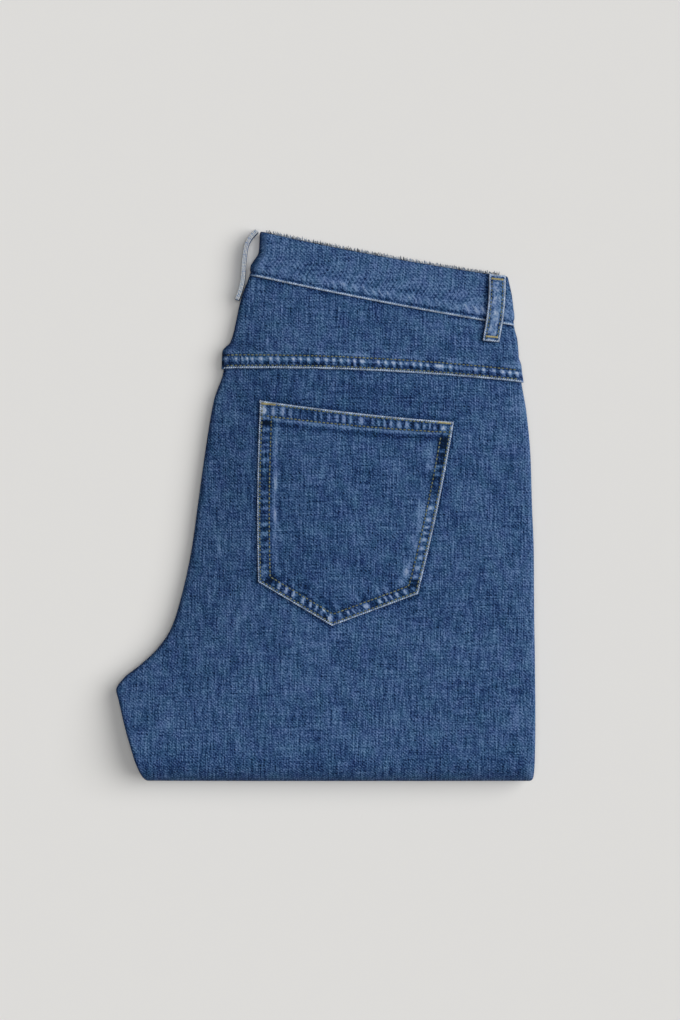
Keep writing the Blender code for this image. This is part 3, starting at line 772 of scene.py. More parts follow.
def denim_material(name, lightness=0.0, twill=0.23, speckle=1.65, cream=None):
    """Woven denim: twill speckle, warp and weft streaks, uneven dye, and wear and painted shading from the
    mesh.
    """
    cloth = bpy.context.scene.jeans_cloth
    made = Nodes(name)
    places = made.node("ShaderNodeUVMap", {"uv_map": "cloth_mm"}).outputs["UV"]
    wear_and_shading = made.node("ShaderNodeAttribute", {"attribute_name": "wear_and_shading"}).outputs["Fac"]

    across_yarn = made.node("ShaderNodeSeparateXYZ", Vector=places)
    yarn_number = made.math("FLOOR", made.math("DIVIDE", across_yarn.outputs["X"], WARP_PITCH))
    yarn_shift = made.node("ShaderNodeTexWhiteNoise", {"noise_dimensions": "1D"},
                           W=yarn_number).outputs["Value"]
    pick = made.math("ADD", made.math("DIVIDE", across_yarn.outputs["Y"], PICK_PITCH), yarn_number)
    pick = made.math("MULTIPLY_ADD", yarn_shift, 0.7, pick)
    float_place = made.math("DIVIDE", pick, TWILL_FLOAT)
    float_number = made.math("FLOOR", float_place)
    float_cell = made.node("ShaderNodeCombineXYZ", X=yarn_number, Y=float_number).outputs["Vector"]
    warp_float = made.node("ShaderNodeTexWhiteNoise", {"noise_dimensions": "2D"},
                           Vector=float_cell).outputs["Value"]
    crossing = made.math("ABSOLUTE", made.math("SUBTRACT", made.math("FRACT", float_place), 0.5))
    weft_dot = made.node("ShaderNodeMapRange", {"interpolation_type": "SMOOTHSTEP"}, Value=crossing,
                         **{"From Min": 0.18, "From Max": 0.46}).outputs["Result"]
    grain = made.noise(places, 0.74, 1.2, 0.7)
    strokes = made.noise(made.stretched(places, 1.0, 0.5), 1.0, 1.0, 0.6)
    warp = made.noise(made.stretched(places, 0.6, 0.05), 1.0, 2.0, 0.7)
    slub = made.noise(made.stretched(places, 1.1, 0.045), 1.0, 0.5, 0.6)
    weft = made.noise(made.stretched(places, 0.05, 0.6), 1.0, 2.0, 0.7)
    pick_line = made.noise(made.stretched(places, 0.05, 1.1), 1.0, 0.5, 0.6)
    cloud = made.noise(places, 0.03, 3.0, 0.6)
    hue = made.noise(made.stretched(places, 0.11, 0.08), 1.0, 1.0, 0.5)

    rotated = made.node("ShaderNodeMapping", {"vector_type": "POINT"}, Vector=places,
                        Rotation=(0.0, 0.0, math.radians(-40.0))).outputs["Vector"]
    rib = made.node("ShaderNodeTexWave", {"wave_type": "BANDS", "bands_direction": "X"}, Vector=rotated,
                    Scale=0.155, Distortion=1.6, Detail=1.0).outputs["Fac"]

    value = made.math("MULTIPLY_ADD", made.math("SUBTRACT", grain, 0.5), speckle * 0.62, 0.5 + lightness)
    parts_of_weave = (
        (warp_float, 0.5, speckle * 0.12),
        (weft_dot, 0.36, twill),
        (strokes, 0.5, 0.16),
        (warp, 0.5, 0.62),
        (slub, 0.5, 0.46),
        (weft, 0.5, 0.4),
        (pick_line, 0.5, 0.34),
        (cloud, 0.5, 0.28),
        (rib, 0.5, 0.3 * twill),
    )
    for pattern, middle, strength in parts_of_weave:
        value = made.math("MULTIPLY_ADD", made.math("SUBTRACT", pattern, middle), strength, value)
    # The mesh's values pale the cloth where wear has rubbed it, and darken or lighten it where shade and
    # light are painted
    value = made.math("MULTIPLY_ADD", wear_and_shading, 0.8, value)

    ramp = made.node("ShaderNodeValToRGB", Fac=value)
    ramp.color_ramp.interpolation = "LINEAR"
    stops = ramp.color_ramp.elements
    shades = [cloth.deep, half_way(cloth.deep, cloth.middle), cloth.middle,
              half_way(cloth.middle, cloth.pale), cloth.pale]
    stops[0].position, stops[0].color = 0.1, four(shades[0])
    stops[1].position, stops[1].color = 0.9, four(shades[4])
    for position, colour in zip((0.3, 0.5, 0.7), shades[1:4]):
        stops.new(position).color = four(colour)
    darkest = tuple(channel * share for channel, share in zip(cloth.deep, DARKEST_SHARES))
    stops.new(0.0).color = four(darkest)
    bluer = made.node("ShaderNodeHueSaturation", Color=ramp.outputs["Color"],
                      Hue=made.math("MULTIPLY_ADD", made.math("SUBTRACT", hue, 0.5), 0.026, 0.502),
                      Saturation=1.0).outputs["Color"]
    pale_share = made.node("ShaderNodeMapRange", {"interpolation_type": "SMOOTHSTEP"}, Value=wear_and_shading,
                           **{"From Min": 0.35, "From Max": 0.95}).outputs["Result"]
    yarn = made.math("MULTIPLY_ADD", made.math("SUBTRACT", grain, 0.5), 2.6, 0.75)
    yarn = made.math("MULTIPLY", made.math("MINIMUM", made.math("MAXIMUM", yarn, 0.0), 1.0), pale_share)
    colour = made.blend_colours(yarn, bluer, four(cream or cloth.cream))
    made.feed(made.shader.inputs["Base Color"], colour)

    raised = made.math("MULTIPLY_ADD", grain, 0.6, made.math("MULTIPLY", rib, 0.35))
    raised = made.math("MULTIPLY_ADD", strokes, 0.4, raised)
    bump = made.node("ShaderNodeBump", Height=raised, Strength=0.5, Distance=0.5 * MM)
    made.feed(made.shader.inputs["Normal"], bump.outputs["Normal"])
    made.shader.inputs["Roughness"].default_value = 0.9
    made.shader.inputs["Specular IOR Level"].default_value = 0.06
    made.shader.inputs["Sheen Weight"].default_value = 0.01
    made.shader.inputs["Sheen Roughness"].default_value = 0.6
    made.shader.inputs["Sheen Tint"].default_value = (0.72, 0.8, 1.0, 1.0)
    return made.material


def thread_material(name, colour, shade):
    """Spun thread: fine twist along each stitch, a little uneven in colour."""
    made = Nodes(name)
    places = made.node("ShaderNodeTexCoord").outputs["Object"]
    patches = made.node("ShaderNodeTexNoise", Vector=places, Scale=260.0, Detail=1.0).outputs["Fac"]
    fibres = made.node("ShaderNodeTexNoise", Vector=places, Scale=2600.0, Detail=2.0).outputs["Fac"]
    darker = tuple(channel * shade for channel in colour)
    share = made.math("MULTIPLY_ADD", made.math("SUBTRACT", patches, 0.5), 2.4, 0.5)
    share = made.math("MINIMUM", made.math("MAXIMUM", share, 0.0), 1.0)
    made.feed(made.shader.inputs["Base Color"], made.blend_colours(share, four(darker), four(colour)))
    bump = made.node("ShaderNodeBump", Height=fibres, Strength=0.6, Distance=0.15 * MM)
    made.feed(made.shader.inputs["Normal"], bump.outputs["Normal"])
    made.shader.inputs["Roughness"].default_value = 0.62
    made.shader.inputs["Specular IOR Level"].default_value = 0.3
    return made.material


def floor_material(colour):
    """Matt paper with the faintest grain."""
    made = Nodes("floor_paper")
    places = made.node("ShaderNodeTexCoord").outputs["Object"]
    grain = made.node("ShaderNodeTexNoise", Vector=places, Scale=40.0, Detail=3.0).outputs["Fac"]
    darker = tuple(channel * 0.992 for channel in colour)
    made.feed(made.shader.inputs["Base Color"], made.blend_colours(grain, four(colour), four(darker)))
    made.shader.inputs["Roughness"].default_value = 1.0
    made.shader.inputs["Specular IOR Level"].default_value = 0.0
    return made.material


# Leg and yoke

LEG_COLUMNS = 164
LEG_ROW_STEP = 1.95
LEG_FOLD_ROWS = 22
LEG_UNDER_ROWS = 50


def dress_rows(lines, shares, outs):
    """Grid of points through some lines, with the cloth's soft relief added."""
    rows = []
    for line, out in zip(lines, outs):
        row = panel_line(line, shares, out)
        lift = cloth_relief(row[:, 0], row[:, 1]) * line.relief
        edge = np.minimum(row[:, 0] - line.left, line.right - row[:, 0])
        row[:, 2] += lift * smooth_step(edge / 14.0)
        rows.append(row)
    return np.array(rows)


def make_leg():
    start = down_at("lap_top") + SEAM_GAP
    end = down_at("fold_start")
    downs = np.linspace(start, end, int((end - start) / LEG_ROW_STEP) + 1)
    lines = [UpperLine(down) for down in downs]
    angles = np.linspace(0.0, 180.0, LEG_FOLD_ROWS + 2)[1:-1]
    lines += [FoldLine(angle) for angle in angles]
    under_downs = np.linspace(end, down_at("yoke_high"), LEG_UNDER_ROWS)
    lines += [UnderLine(down) for down in under_downs]
    shares = np.linspace(0.0, 1.0, LEG_COLUMNS)
    grid = dress_rows(lines, shares, [0.0] * len(lines))
    upper = len(downs)
    turned = upper + len(angles)

    along = grid[:, :, 1].copy()
    fold_arc = FOLD_REACH * np.radians(angles)
    along[upper:turned] = FOLD_Y - fold_arc[:, None]
    along[turned:] = FOLD_Y - FOLD_REACH * math.pi - (grid[turned:, :, 1] - FOLD_Y)
    cloth_mm = cloth_places(grid, along)

    x, y = grid[:, :, 0], grid[:, :, 1]
    wear_and_shading = shading_and_tone(x, along)
    edges = np.array([[line.left, line.right] for line in lines])
    from_left = x - edges[:, :1]
    from_right = edges[:, 1:] - x
    # Painted shade along the left edge, which turns away from the light
    wear_and_shading -= 0.22 * band_pass(from_left, -5.0, 2.2, 2.0)
    # Paler near the right edge: partly painted light where the edge faces the light, partly wear
    wear_and_shading += 0.24 * np.exp(-from_right / 4.0)
    wear_and_shading += 0.03 * soft_noise(x, along, 7.0, 31) * np.exp(-from_right / 12.0)
    # Painted shadow of the yoke's lapped edge on the leg just below it
    from_lap = np.concatenate([downs, np.full(len(lines) - upper, 999.0)])[:, None] - down_at("lap_edge")
    wear_and_shading -= 0.16 * np.exp(-(np.maximum(from_lap, 0.0) / 2.4) ** 2)
    # Painted shadow round the pocket's edges, with the darker unrubbed indigo beside its seams
    outside = pocket_distance(x, y)
    shadow_and_dye_by_pocket = np.exp(-(np.maximum(outside, 0.0) / 3.2) ** 2) * (np.arange(len(lines))[:, None] < upper)
    wear_and_shading -= 0.3 * shadow_and_dye_by_pocket
    # Painted shade on the cloth as it rounds into the bottom fold, and on the fold itself
    wear_and_shading[:upper] -= 0.08 * smooth_step((FOLD_Y + 16.0 - y[:upper]) / 20.0)
    wear_and_shading[upper:turned] -= 0.08
    SURFACES["leg"] = surface_tree(grid[:upper])
    thing = sheet_piece("leg_cloth", grid, PANEL_WALL, cloth_mm, wear_and_shading,
                        bpy.data.materials["denim_face"])
    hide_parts("back_leg")
    return thing


YOKE_COLUMNS = 206
YOKE_ROW_STEP = 0.95
YOKE_LOW_ROW = 2.2
YOKE_HIGH_ROW = 10.2


def make_yoke():
    start = down_at("band_seam") + SEAM_GAP - 2.0
    end = down_at("lap_edge")
    downs = np.linspace(start, end, int((end - start) / YOKE_ROW_STEP) + 1)
    downs = np.concatenate([downs[:-1], end - np.array([0.6, 0.25, 0.0])])
    lines = [UpperLine(down) for down in downs]
    lap = PANEL_WALL + LAYER_GAP
    rises = lap * smooth_step((downs - down_at("yoke_low")) / (down_at("lap_top") - down_at("yoke_low")))
    rises -= 0.9 * smooth_step((down_at("band_seam") + 1.5 - downs) / 3.0)
    shares = np.linspace(0.0, 1.0, YOKE_COLUMNS)
    grid = dress_rows(lines, shares, rises)
    x, y = grid[:, :, 0], grid[:, :, 1]
    from_edge = (end - downs)[:, None] + 0.0 * x
    run = cloth_places(grid, y)[:, :, 0]
    ripple = pucker(run + 0.15 * from_edge, 6.4, 41)
    between = band_pass(from_edge, YOKE_LOW_ROW + 1.0, YOKE_HIGH_ROW - 1.0, 3.0)
    below = band_pass(from_edge, -2.0, 1.2, 1.0)
    grid[:, :, 2] += between * (0.28 * ripple + 0.25)
    grid[:, :, 2] -= 0.55 * (np.exp(-((from_edge - YOKE_LOW_ROW) / 0.9) ** 2)
                             + np.exp(-((from_edge - YOKE_HIGH_ROW) / 0.9) ** 2))
    grid[:, :, 2] -= 0.35 * np.exp(-(from_edge / 0.45) ** 2)
    wear_and_shading = shading_and_tone(x, y)
    fade = smooth_step(0.25 + ripple * 1.5)
    wear_and_shading += between * (0.72 * fade - 0.32) + seam_tone("yoke", from_edge)
    above_rows = band_pass(from_edge, YOKE_HIGH_ROW + 0.6, YOKE_HIGH_ROW + 5.0, 2.0)
    wear_and_shading += 0.3 * above_rows * soft_noise(run, from_edge, 5.5, 45)
    rope = pucker(run, 1.9, 43)
    wear_and_shading += below * (0.55 + 0.22 * rope + 0.3 * soft_noise(run, 0.0, 9.0, 47))
    # Painted shadow under the waistband's lower edge
    from_seam = (downs - down_at("band_seam"))[:, None] + 0.0 * x
    wear_and_shading -= 0.34 * np.exp(-(np.maximum(from_seam, 0.0) / 2.4) ** 2)
    edges = np.array([[line.left, line.right] for line in lines])
    # Painted shadow beside the side loop, and painted shade along the left edge, which turns away from the
    # light
    wear_and_shading += loop_shade(x, y) - 0.27 * band_pass(x - edges[:, :1], -5.0, 2.0, 2.0)
    # Painted shade in the grooves that the two stitch rows pull
    for row in (YOKE_LOW_ROW, YOKE_HIGH_ROW):
        wear_and_shading -= 0.32 * np.exp(-((from_edge - row) / 1.0) ** 2)
    # Paler near the right edge: partly painted light where the edge faces the light, partly wear
    wear_and_shading += 0.18 * np.exp(-(edges[:, 1:] - x) / 4.0)
    SURFACES["yoke"] = surface_tree(grid)
    cloth_mm = cloth_places(grid, y)
    thing = sheet_piece("yoke_cloth", grid, PANEL_WALL, cloth_mm + CLOTH_PLACES["yoke"], wear_and_shading,
                        bpy.data.materials["denim_face"])
    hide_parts("yoke")
    return thing


# Waistband

BAND_TOP_COLUMNS = 190
BAND_OTHER_COLUMNS = 54
BAND_ROWS = 34
BAND_TURN_ANGLES = np.linspace(0.0, 180.0, 11)[1:-1]
RIDGE_LOW = 4.2
RIDGE_HIGH = 10.8


def band_line(down):
    """Middle of the waistband's wall, once round its four plies, as points."""
    line = UpperLine(down)
    half_wall = 0.5 * BAND_WALL

    def level(x, number):
        u = np.clip((x - line.left) / (line.right - line.left), 0.0, 1.0)
        pitch = (line.height(u) + BAND_PROUD - BAND_WALL) / 3.0
        return half_wall + pitch * number

    def run(number, first, last, count):
        x = np.linspace(first, last, count)
        return np.stack([x, level(x, number)], axis=-1)

    def turn(x, high, low, side, bulge):
        start, end = level(x, high), level(x, low)
        angles = np.radians(BAND_TURN_ANGLES)
        return np.stack([x + side * bulge * np.sin(angles),
                         0.5 * (start + end) + 0.5 * (start - end) * np.cos(angles)], axis=-1)

    side_bulge = 0.5 * level(line.right, 1) + 0.25 * BAND_WALL
    left = line.left + BAND_LEFT_BULGE
    right = line.right - side_bulge - half_wall
    front = left + FRONT_INSET
    parts = [
        run(3, left, right, BAND_TOP_COLUMNS),
        turn(right, 3, 2, 1, side_bulge),
        run(2, right, front, BAND_OTHER_COLUMNS),
        turn(front, 2, 1, -1, side_bulge),
        run(1, front, right, BAND_OTHER_COLUMNS),
        turn(right, 1, 0, 1, side_bulge),
        run(0, right, left, BAND_OTHER_COLUMNS),
        turn(left, 0, 3, -1, BAND_LEFT_BULGE - half_wall),
    ]
    spots = np.concatenate(parts)
    return np.stack([spots[:, 0], line.along(spots[:, 0]), spots[:, 1]], axis=-1)


def make_waistband():
    end = down_at("band_seam") - SEAM_GAP
    half_wall = 0.5 * BAND_WALL
    rounding = np.radians(np.linspace(90.0, 0.0, 6))
    outer_downs = np.linspace(end, 1.4 * half_wall, BAND_ROWS)
    profile = [(down, 1.0) for down in outer_downs]
    profile += [(1.4 * half_wall * (1.0 - math.cos(a)), math.sin(a)) for a in rounding[1:]]
    profile += [(1.4 * half_wall * (1.0 - math.cos(a)), -math.sin(a)) for a in rounding[1:-1][::-1]]
    profile += [(down, -1.0) for down in outer_downs[::-1][::3]]
    rows, shades, uvs = [], [], []
    for down, offset in profile:
        points = band_line(max(down, 0.0))
        forward = np.roll(points, -1, axis=0) - np.roll(points, 1, axis=0)
        normal = unit(np.stack([-forward[:, 2], 0.0 * forward[:, 1], forward[:, 0]], axis=-1))
        run = np.concatenate([[0.0], np.cumsum(np.linalg.norm(np.diff(points, axis=0), axis=-1))])
        from_seam = end - down
        ridge = band_pass(from_seam, RIDGE_LOW, RIDGE_HIGH, 3.0)
        slanted = pucker(run + 0.9 * from_seam, 6.4, 51)
        puckers = pucker(run + 0.9 * from_seam, 3.4, 55)
        rope = pucker(run, 1.9, 53)
        lower_edge = math.exp(-(from_seam / 1.1) ** 2)
        bulge = 0.0
        wear_and_shading = shading_and_tone(points[:, 0], points[:, 1]) * 1.6
        # Painted shade at the left end, where the band turns over away from the light
        wear_and_shading = wear_and_shading - 0.27 * np.exp(-((points[:, 0] - points[:, 0].min()) / 2.6) ** 2)
        if offset > 0.5:
            bulge = ridge * (0.38 + 0.3 * slanted + 0.15 * puckers)
            bulge = bulge - 0.5 * math.exp(-((from_seam - 2.9) / 1.0) ** 2)
            patch = 0.6 + 0.6 * soft_noise(run, 0.0, 30.0, 57)
            streaks = soft_noise(run - 1.1 * from_seam, 0.35 * from_seam, 4.6, 59)
            wear_and_shading = wear_and_shading + 0.2 * band_pass(from_seam, 4.0, 20.0, 6.0) * streaks * patch
            wear_and_shading = wear_and_shading + ridge * patch * (0.02 + 0.7 * smooth_step(0.3 + slanted) * (0.7 + 0.3 * puckers))
            wear_and_shading = wear_and_shading + seam_tone("waistband", from_seam)
            wear_and_shading = wear_and_shading - 0.1 * band_pass(from_seam, 8.5, 14.0, 4.0)
            # The lower edge's rope of rubbed yarn, and the painted shadow beside the side loop
            wear_and_shading = wear_and_shading + lower_edge * (0.62 + 0.25 * rope) + loop_shade(points[:, 0], points[:, 1])
        wear_and_shading = wear_and_shading - 0.2 * band_pass(down, -3.0, 1.0, 1.2) + 0.07 * band_pass(from_seam, 11.0, 18.0, 3.0)
        shade = wear_and_shading + 0.0 * run
        rows.append(points + normal * (half_wall * offset + bulge)[..., None]
                    if np.ndim(bulge) else points + normal * (half_wall * offset + bulge))
        shades.append(shade)
        uvs.append(np.stack([run - 53.0, points[:, 1] + 0.0 * run], axis=-1))
    grid = np.array(rows)
    grid[:, :, 2] = np.maximum(grid[:, :, 2], 0.0)
    count, columns, _ = grid.shape
    faces = grid_faces(count, columns, close_rows=True, close_columns=True)[:, ::-1]
    wear_and_shading = np.array(shades).reshape(-1)
    uv = np.array(uvs).reshape(-1, 2) + CLOTH_PLACES["waistband"]
    top = grid[:BAND_ROWS, :BAND_TOP_COLUMNS + 4][::-1]
    SURFACES["band"] = surface_tree(top)
    thing = new_piece("waistband_cloth", grid.reshape(-1, 3), faces.tolist(),
                      bpy.data.materials["denim_band"], uv, wear_and_shading)
    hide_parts("waistband")
    return thing


# Pile of hidden cloth

PILE_ROW_STEP = 4.0


def pile_levels(line, side, is_base):
    """Depth and outward reach of the pile's side, from its upper face to its middle."""
    half = float(line.half(0.0 if side < 0 else 1.0))
    under = PANEL_WALL + LAYER_GAP
    if side < 0:
        turn_in, turn_down, layered = line.turn_in, line.turn_down, line.layered
        hidden = 0.0 if is_base else min(under * line.slant, turn_in - LAYER_GAP)
        sunk = under if is_base else under * (1.0 + SLANT_SINK * (line.slant - 1.0))
    else:
        turn_in, turn_down, layered, hidden, sunk = SIDE_TURN_IN, SIDE_TURN_DOWN, 1.0, under, under
    ledge = turn_down + TURN_CLEARANCE
    edge = ledge + 0.5 * LAYER_GAP
    slope = math.sqrt(0.5)
    levels = [
        (sunk, 0.0),
        (ledge - (ledge - sunk) * slope, (turn_in - hidden) * slope),
        (ledge, turn_in - hidden),
        (edge, turn_in),
    ]
    valley = edge + (half - edge) * 0.1
    bead = 0.5 * (half - valley)
    grooves = 0.25 + 0.75 * layered
    levels.append((valley, turn_in * (1.0 - 0.85 * grooves)))
    shape = ((0.08, 0.45), (0.16, 0.78), (0.28, 0.97), (0.4, 1.0), (0.47, 0.9), (0.5, 0.72), (0.53, 0.9),
             (0.6, 1.0), (0.72, 0.97), (0.84, 0.78), (0.92, 0.45), (1.0, 0.05))
    for number in range(2):
        begin = valley + number * bead
        for share, reach in shape:
            if number == 1 and share == 1.0:
                continue
            levels.append((begin + share * bead, turn_in * (1.0 - (1.0 - reach) * grooves)))
    return levels, turn_in, half


def make_pile():
    first = down_at("band_seam") + SEAM_GAP
    last = down_at("fold_start")
    downs = np.linspace(first, last, int((last - first) / PILE_ROW_STEP) + 1)
    upper = [UpperLine(down) for down in downs]
    fold = [FoldLine(angle) for angle in np.linspace(0.0, 180.0, 22)[1:-1]]
    lower = [BaseLine(down) for down in downs[::-1]]
    lines = upper + fold + lower
    under = PANEL_WALL + LAYER_GAP
    levels = {side: [pile_levels(line, side, isinstance(line, BaseLine)) for line in lines]
              for side in (-1, 1)}
    count = len(levels[1][0][0])
    order = np.arange(len(lines)) * PILE_ROW_STEP

    def side_ring(level, side):
        ring = []
        wobble = 0.35 * soft_noise(order, level * 1.7, 17.0, 61 + side)
        for number, line in enumerate(lines):
            table, turn_in, half = levels[side][number]
            depth, reach = table[level]
            if isinstance(line, BaseLine):
                line.reach(depth / half)
            edge = line.left if side < 0 else line.right
            shift = wobble[number] if 4 < level else 0.0
            if isinstance(line, BaseLine) and depth < 3.0:
                shift = 0.0
            ring.append(line.place(edge - side * turn_in + side * (reach - 0.3 + shift), depth))
        return ring

    def inner_ring(share):
        ring = []
        for line in lines:
            if isinstance(line, BaseLine):
                line.reach(0.0)
            start = line.left + line.turn_in
            width = line.right - SIDE_TURN_IN - start
            ring.append(line.place(start + share * width, under))
        return ring

    rings = [side_ring(level, -1) for level in range(count - 1, -1, -1)]
    rings += [inner_ring(share) for share in np.linspace(0.0, 1.0, 14)[1:-1]]
    rings += [side_ring(level, 1) for level in range(count)]
    grid = np.array(rings)
    rows, columns, _ = grid.shape
    faces = grid_faces(rows, columns, close_columns=True)[:, ::-1].tolist()
    pairs = len(downs)
    for base, turned in ((0, True), ((rows - 1) * columns, False)):
        closing = [(i, i + 1, columns - 2 - i, columns - 1 - i) for i in range(pairs - 1)]
        closing.append(tuple(range(pairs - 1, columns - pairs + 1)))
        for face in closing:
            face = tuple(base + index for index in face)
            faces.append(tuple(reversed(face)) if turned else face)
    along = np.tile(order, (rows, 1))
    reach = np.cumsum(np.concatenate([np.zeros((1, columns)),
                                      np.linalg.norm(np.diff(grid, axis=0), axis=-1)]), axis=0)
    uv = np.stack([reach, along], axis=-1) + 1500.0
    depth_in = np.zeros((rows, columns))
    for index, level in enumerate(list(range(count - 1, -1, -1))):
        depth_in[index] = level
    for index in range(count):
        depth_in[rows - count + index] = index
    # Painted shade in the grooves between the plies, by how deep each ring lies in one; the whole pile is
    # also a little darker
    groove_shade = np.zeros((rows, columns))
    table = levels[1][0][0]
    for index in range(rows):
        level = int(depth_in[index, 0])
        groove_shade[index] = max(0.0, 1.0 - table[level][1] / SIDE_TURN_IN) if level > 3 else 0.0
    wear_and_shading = shading_and_tone(grid[:, :, 0], along) - 0.1 - 0.3 * groove_shade
    thing = new_piece("pile_cloth", grid.reshape(-1, 3), faces, bpy.data.materials["denim_inner"],
                      uv.reshape(-1, 2), wear_and_shading.reshape(-1))
    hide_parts("hidden_layers")
    return thing


# Back pocket

POCKET_COLUMNS = 128
POCKET_ROWS = 140
OUTER_ROW = 1.9
INNER_ROW = 9.6
INNER_ROW_RIGHT = 8.4
HEM_ROW_LEFT = 11.8
HEM_ROW_RIGHT = 8.6


def pocket_tip_share():
    return (POCKET_TIP[0] - POCKET_LOW_LEFT[0]) / (POCKET_LOW_RIGHT[0] - POCKET_LOW_LEFT[0])


def pocket_spot(across, down):
    """Plan position on the pocket; down runs from its mouth to its pointed lower edge."""
    across = np.asarray(across, float)
    top_x = POCKET_TOP_LEFT[0] + across * (POCKET_TOP_RIGHT[0] - POCKET_TOP_LEFT[0])
    top_y = POCKET_TOP_LEFT[1] + across * (POCKET_TOP_RIGHT[1] - POCKET_TOP_LEFT[1])
    top_y = top_y - 4.0 * POCKET_MOUTH_SAG * across * (1.0 - across)
    tip = pocket_tip_share()
    left = np.clip(across / tip, 0.0, 1.0)
    right = np.clip((across - tip) / (1.0 - tip), 0.0, 1.0)
    low_x = POCKET_LOW_LEFT[0] + left * (POCKET_TIP[0] - POCKET_LOW_LEFT[0])
    low_x = low_x + right * (POCKET_LOW_RIGHT[0] - POCKET_TIP[0])
    low_y = POCKET_LOW_LEFT[1] + left * (POCKET_TIP[1] - POCKET_LOW_LEFT[1])
    low_y = low_y + right * (POCKET_LOW_RIGHT[1] - POCKET_TIP[1])
    bow = POCKET_SIDE_BOW * (1.0 - 2.0 * across) * np.sin(math.pi * down)
    return top_x + down * (low_x - top_x) - bow, top_y + down * (low_y - top_y)


def segment_distance(x, y, first, last):
    """Distance of some places from a straight line, positive on its right, and how far along it."""
    along = np.array(last, float) - np.array(first, float)
    length = float(np.hypot(*along))
    along /= length
    dx, dy = x - first[0], y - first[1]
    run = dx * along[0] + dy * along[1]
    return dx * along[1] - dy * along[0], run, length


def pocket_edges(x, y):
    """Distance inside each edge of the pocket, and the run along it, by the edge's name."""
    steps = np.linspace(0.0, 1.0, 9)
    corners = {
        "left": [pocket_spot(0.0, step) for step in steps],
        "low_left": [POCKET_LOW_LEFT, POCKET_TIP],
        "low_right": [POCKET_TIP, POCKET_LOW_RIGHT],
        "right": [pocket_spot(1.0, 1.0 - step) for step in steps],
        "top": [pocket_spot(1.0 - step, 0.0) for step in steps],
    }
    found = {}
    for name, spots in corners.items():
        best = None
        reach = 0.0
        for first, last in zip(spots[:-1], spots[1:]):
            inside, run, length = segment_distance(x, y, first, last)
            inside = -inside
            over = np.maximum(np.maximum(-run, run - length), 0.0)
            miss = np.hypot(inside, over)
            if best is None:
                best = [miss, inside, run]
            else:
                closer = miss < best[0]
                best = [np.where(closer, miss, best[0]), np.where(closer, inside, best[1]),
                        np.where(closer, run + reach, best[2])]
            reach += length
        found[name] = (best[1], best[2])
    return found


def pocket_distance(x, y):
    """How far some places lie outside the pocket."""
    edges = pocket_edges(x, y)
    return -np.minimum.reduce([inside for inside, _ in edges.values()])


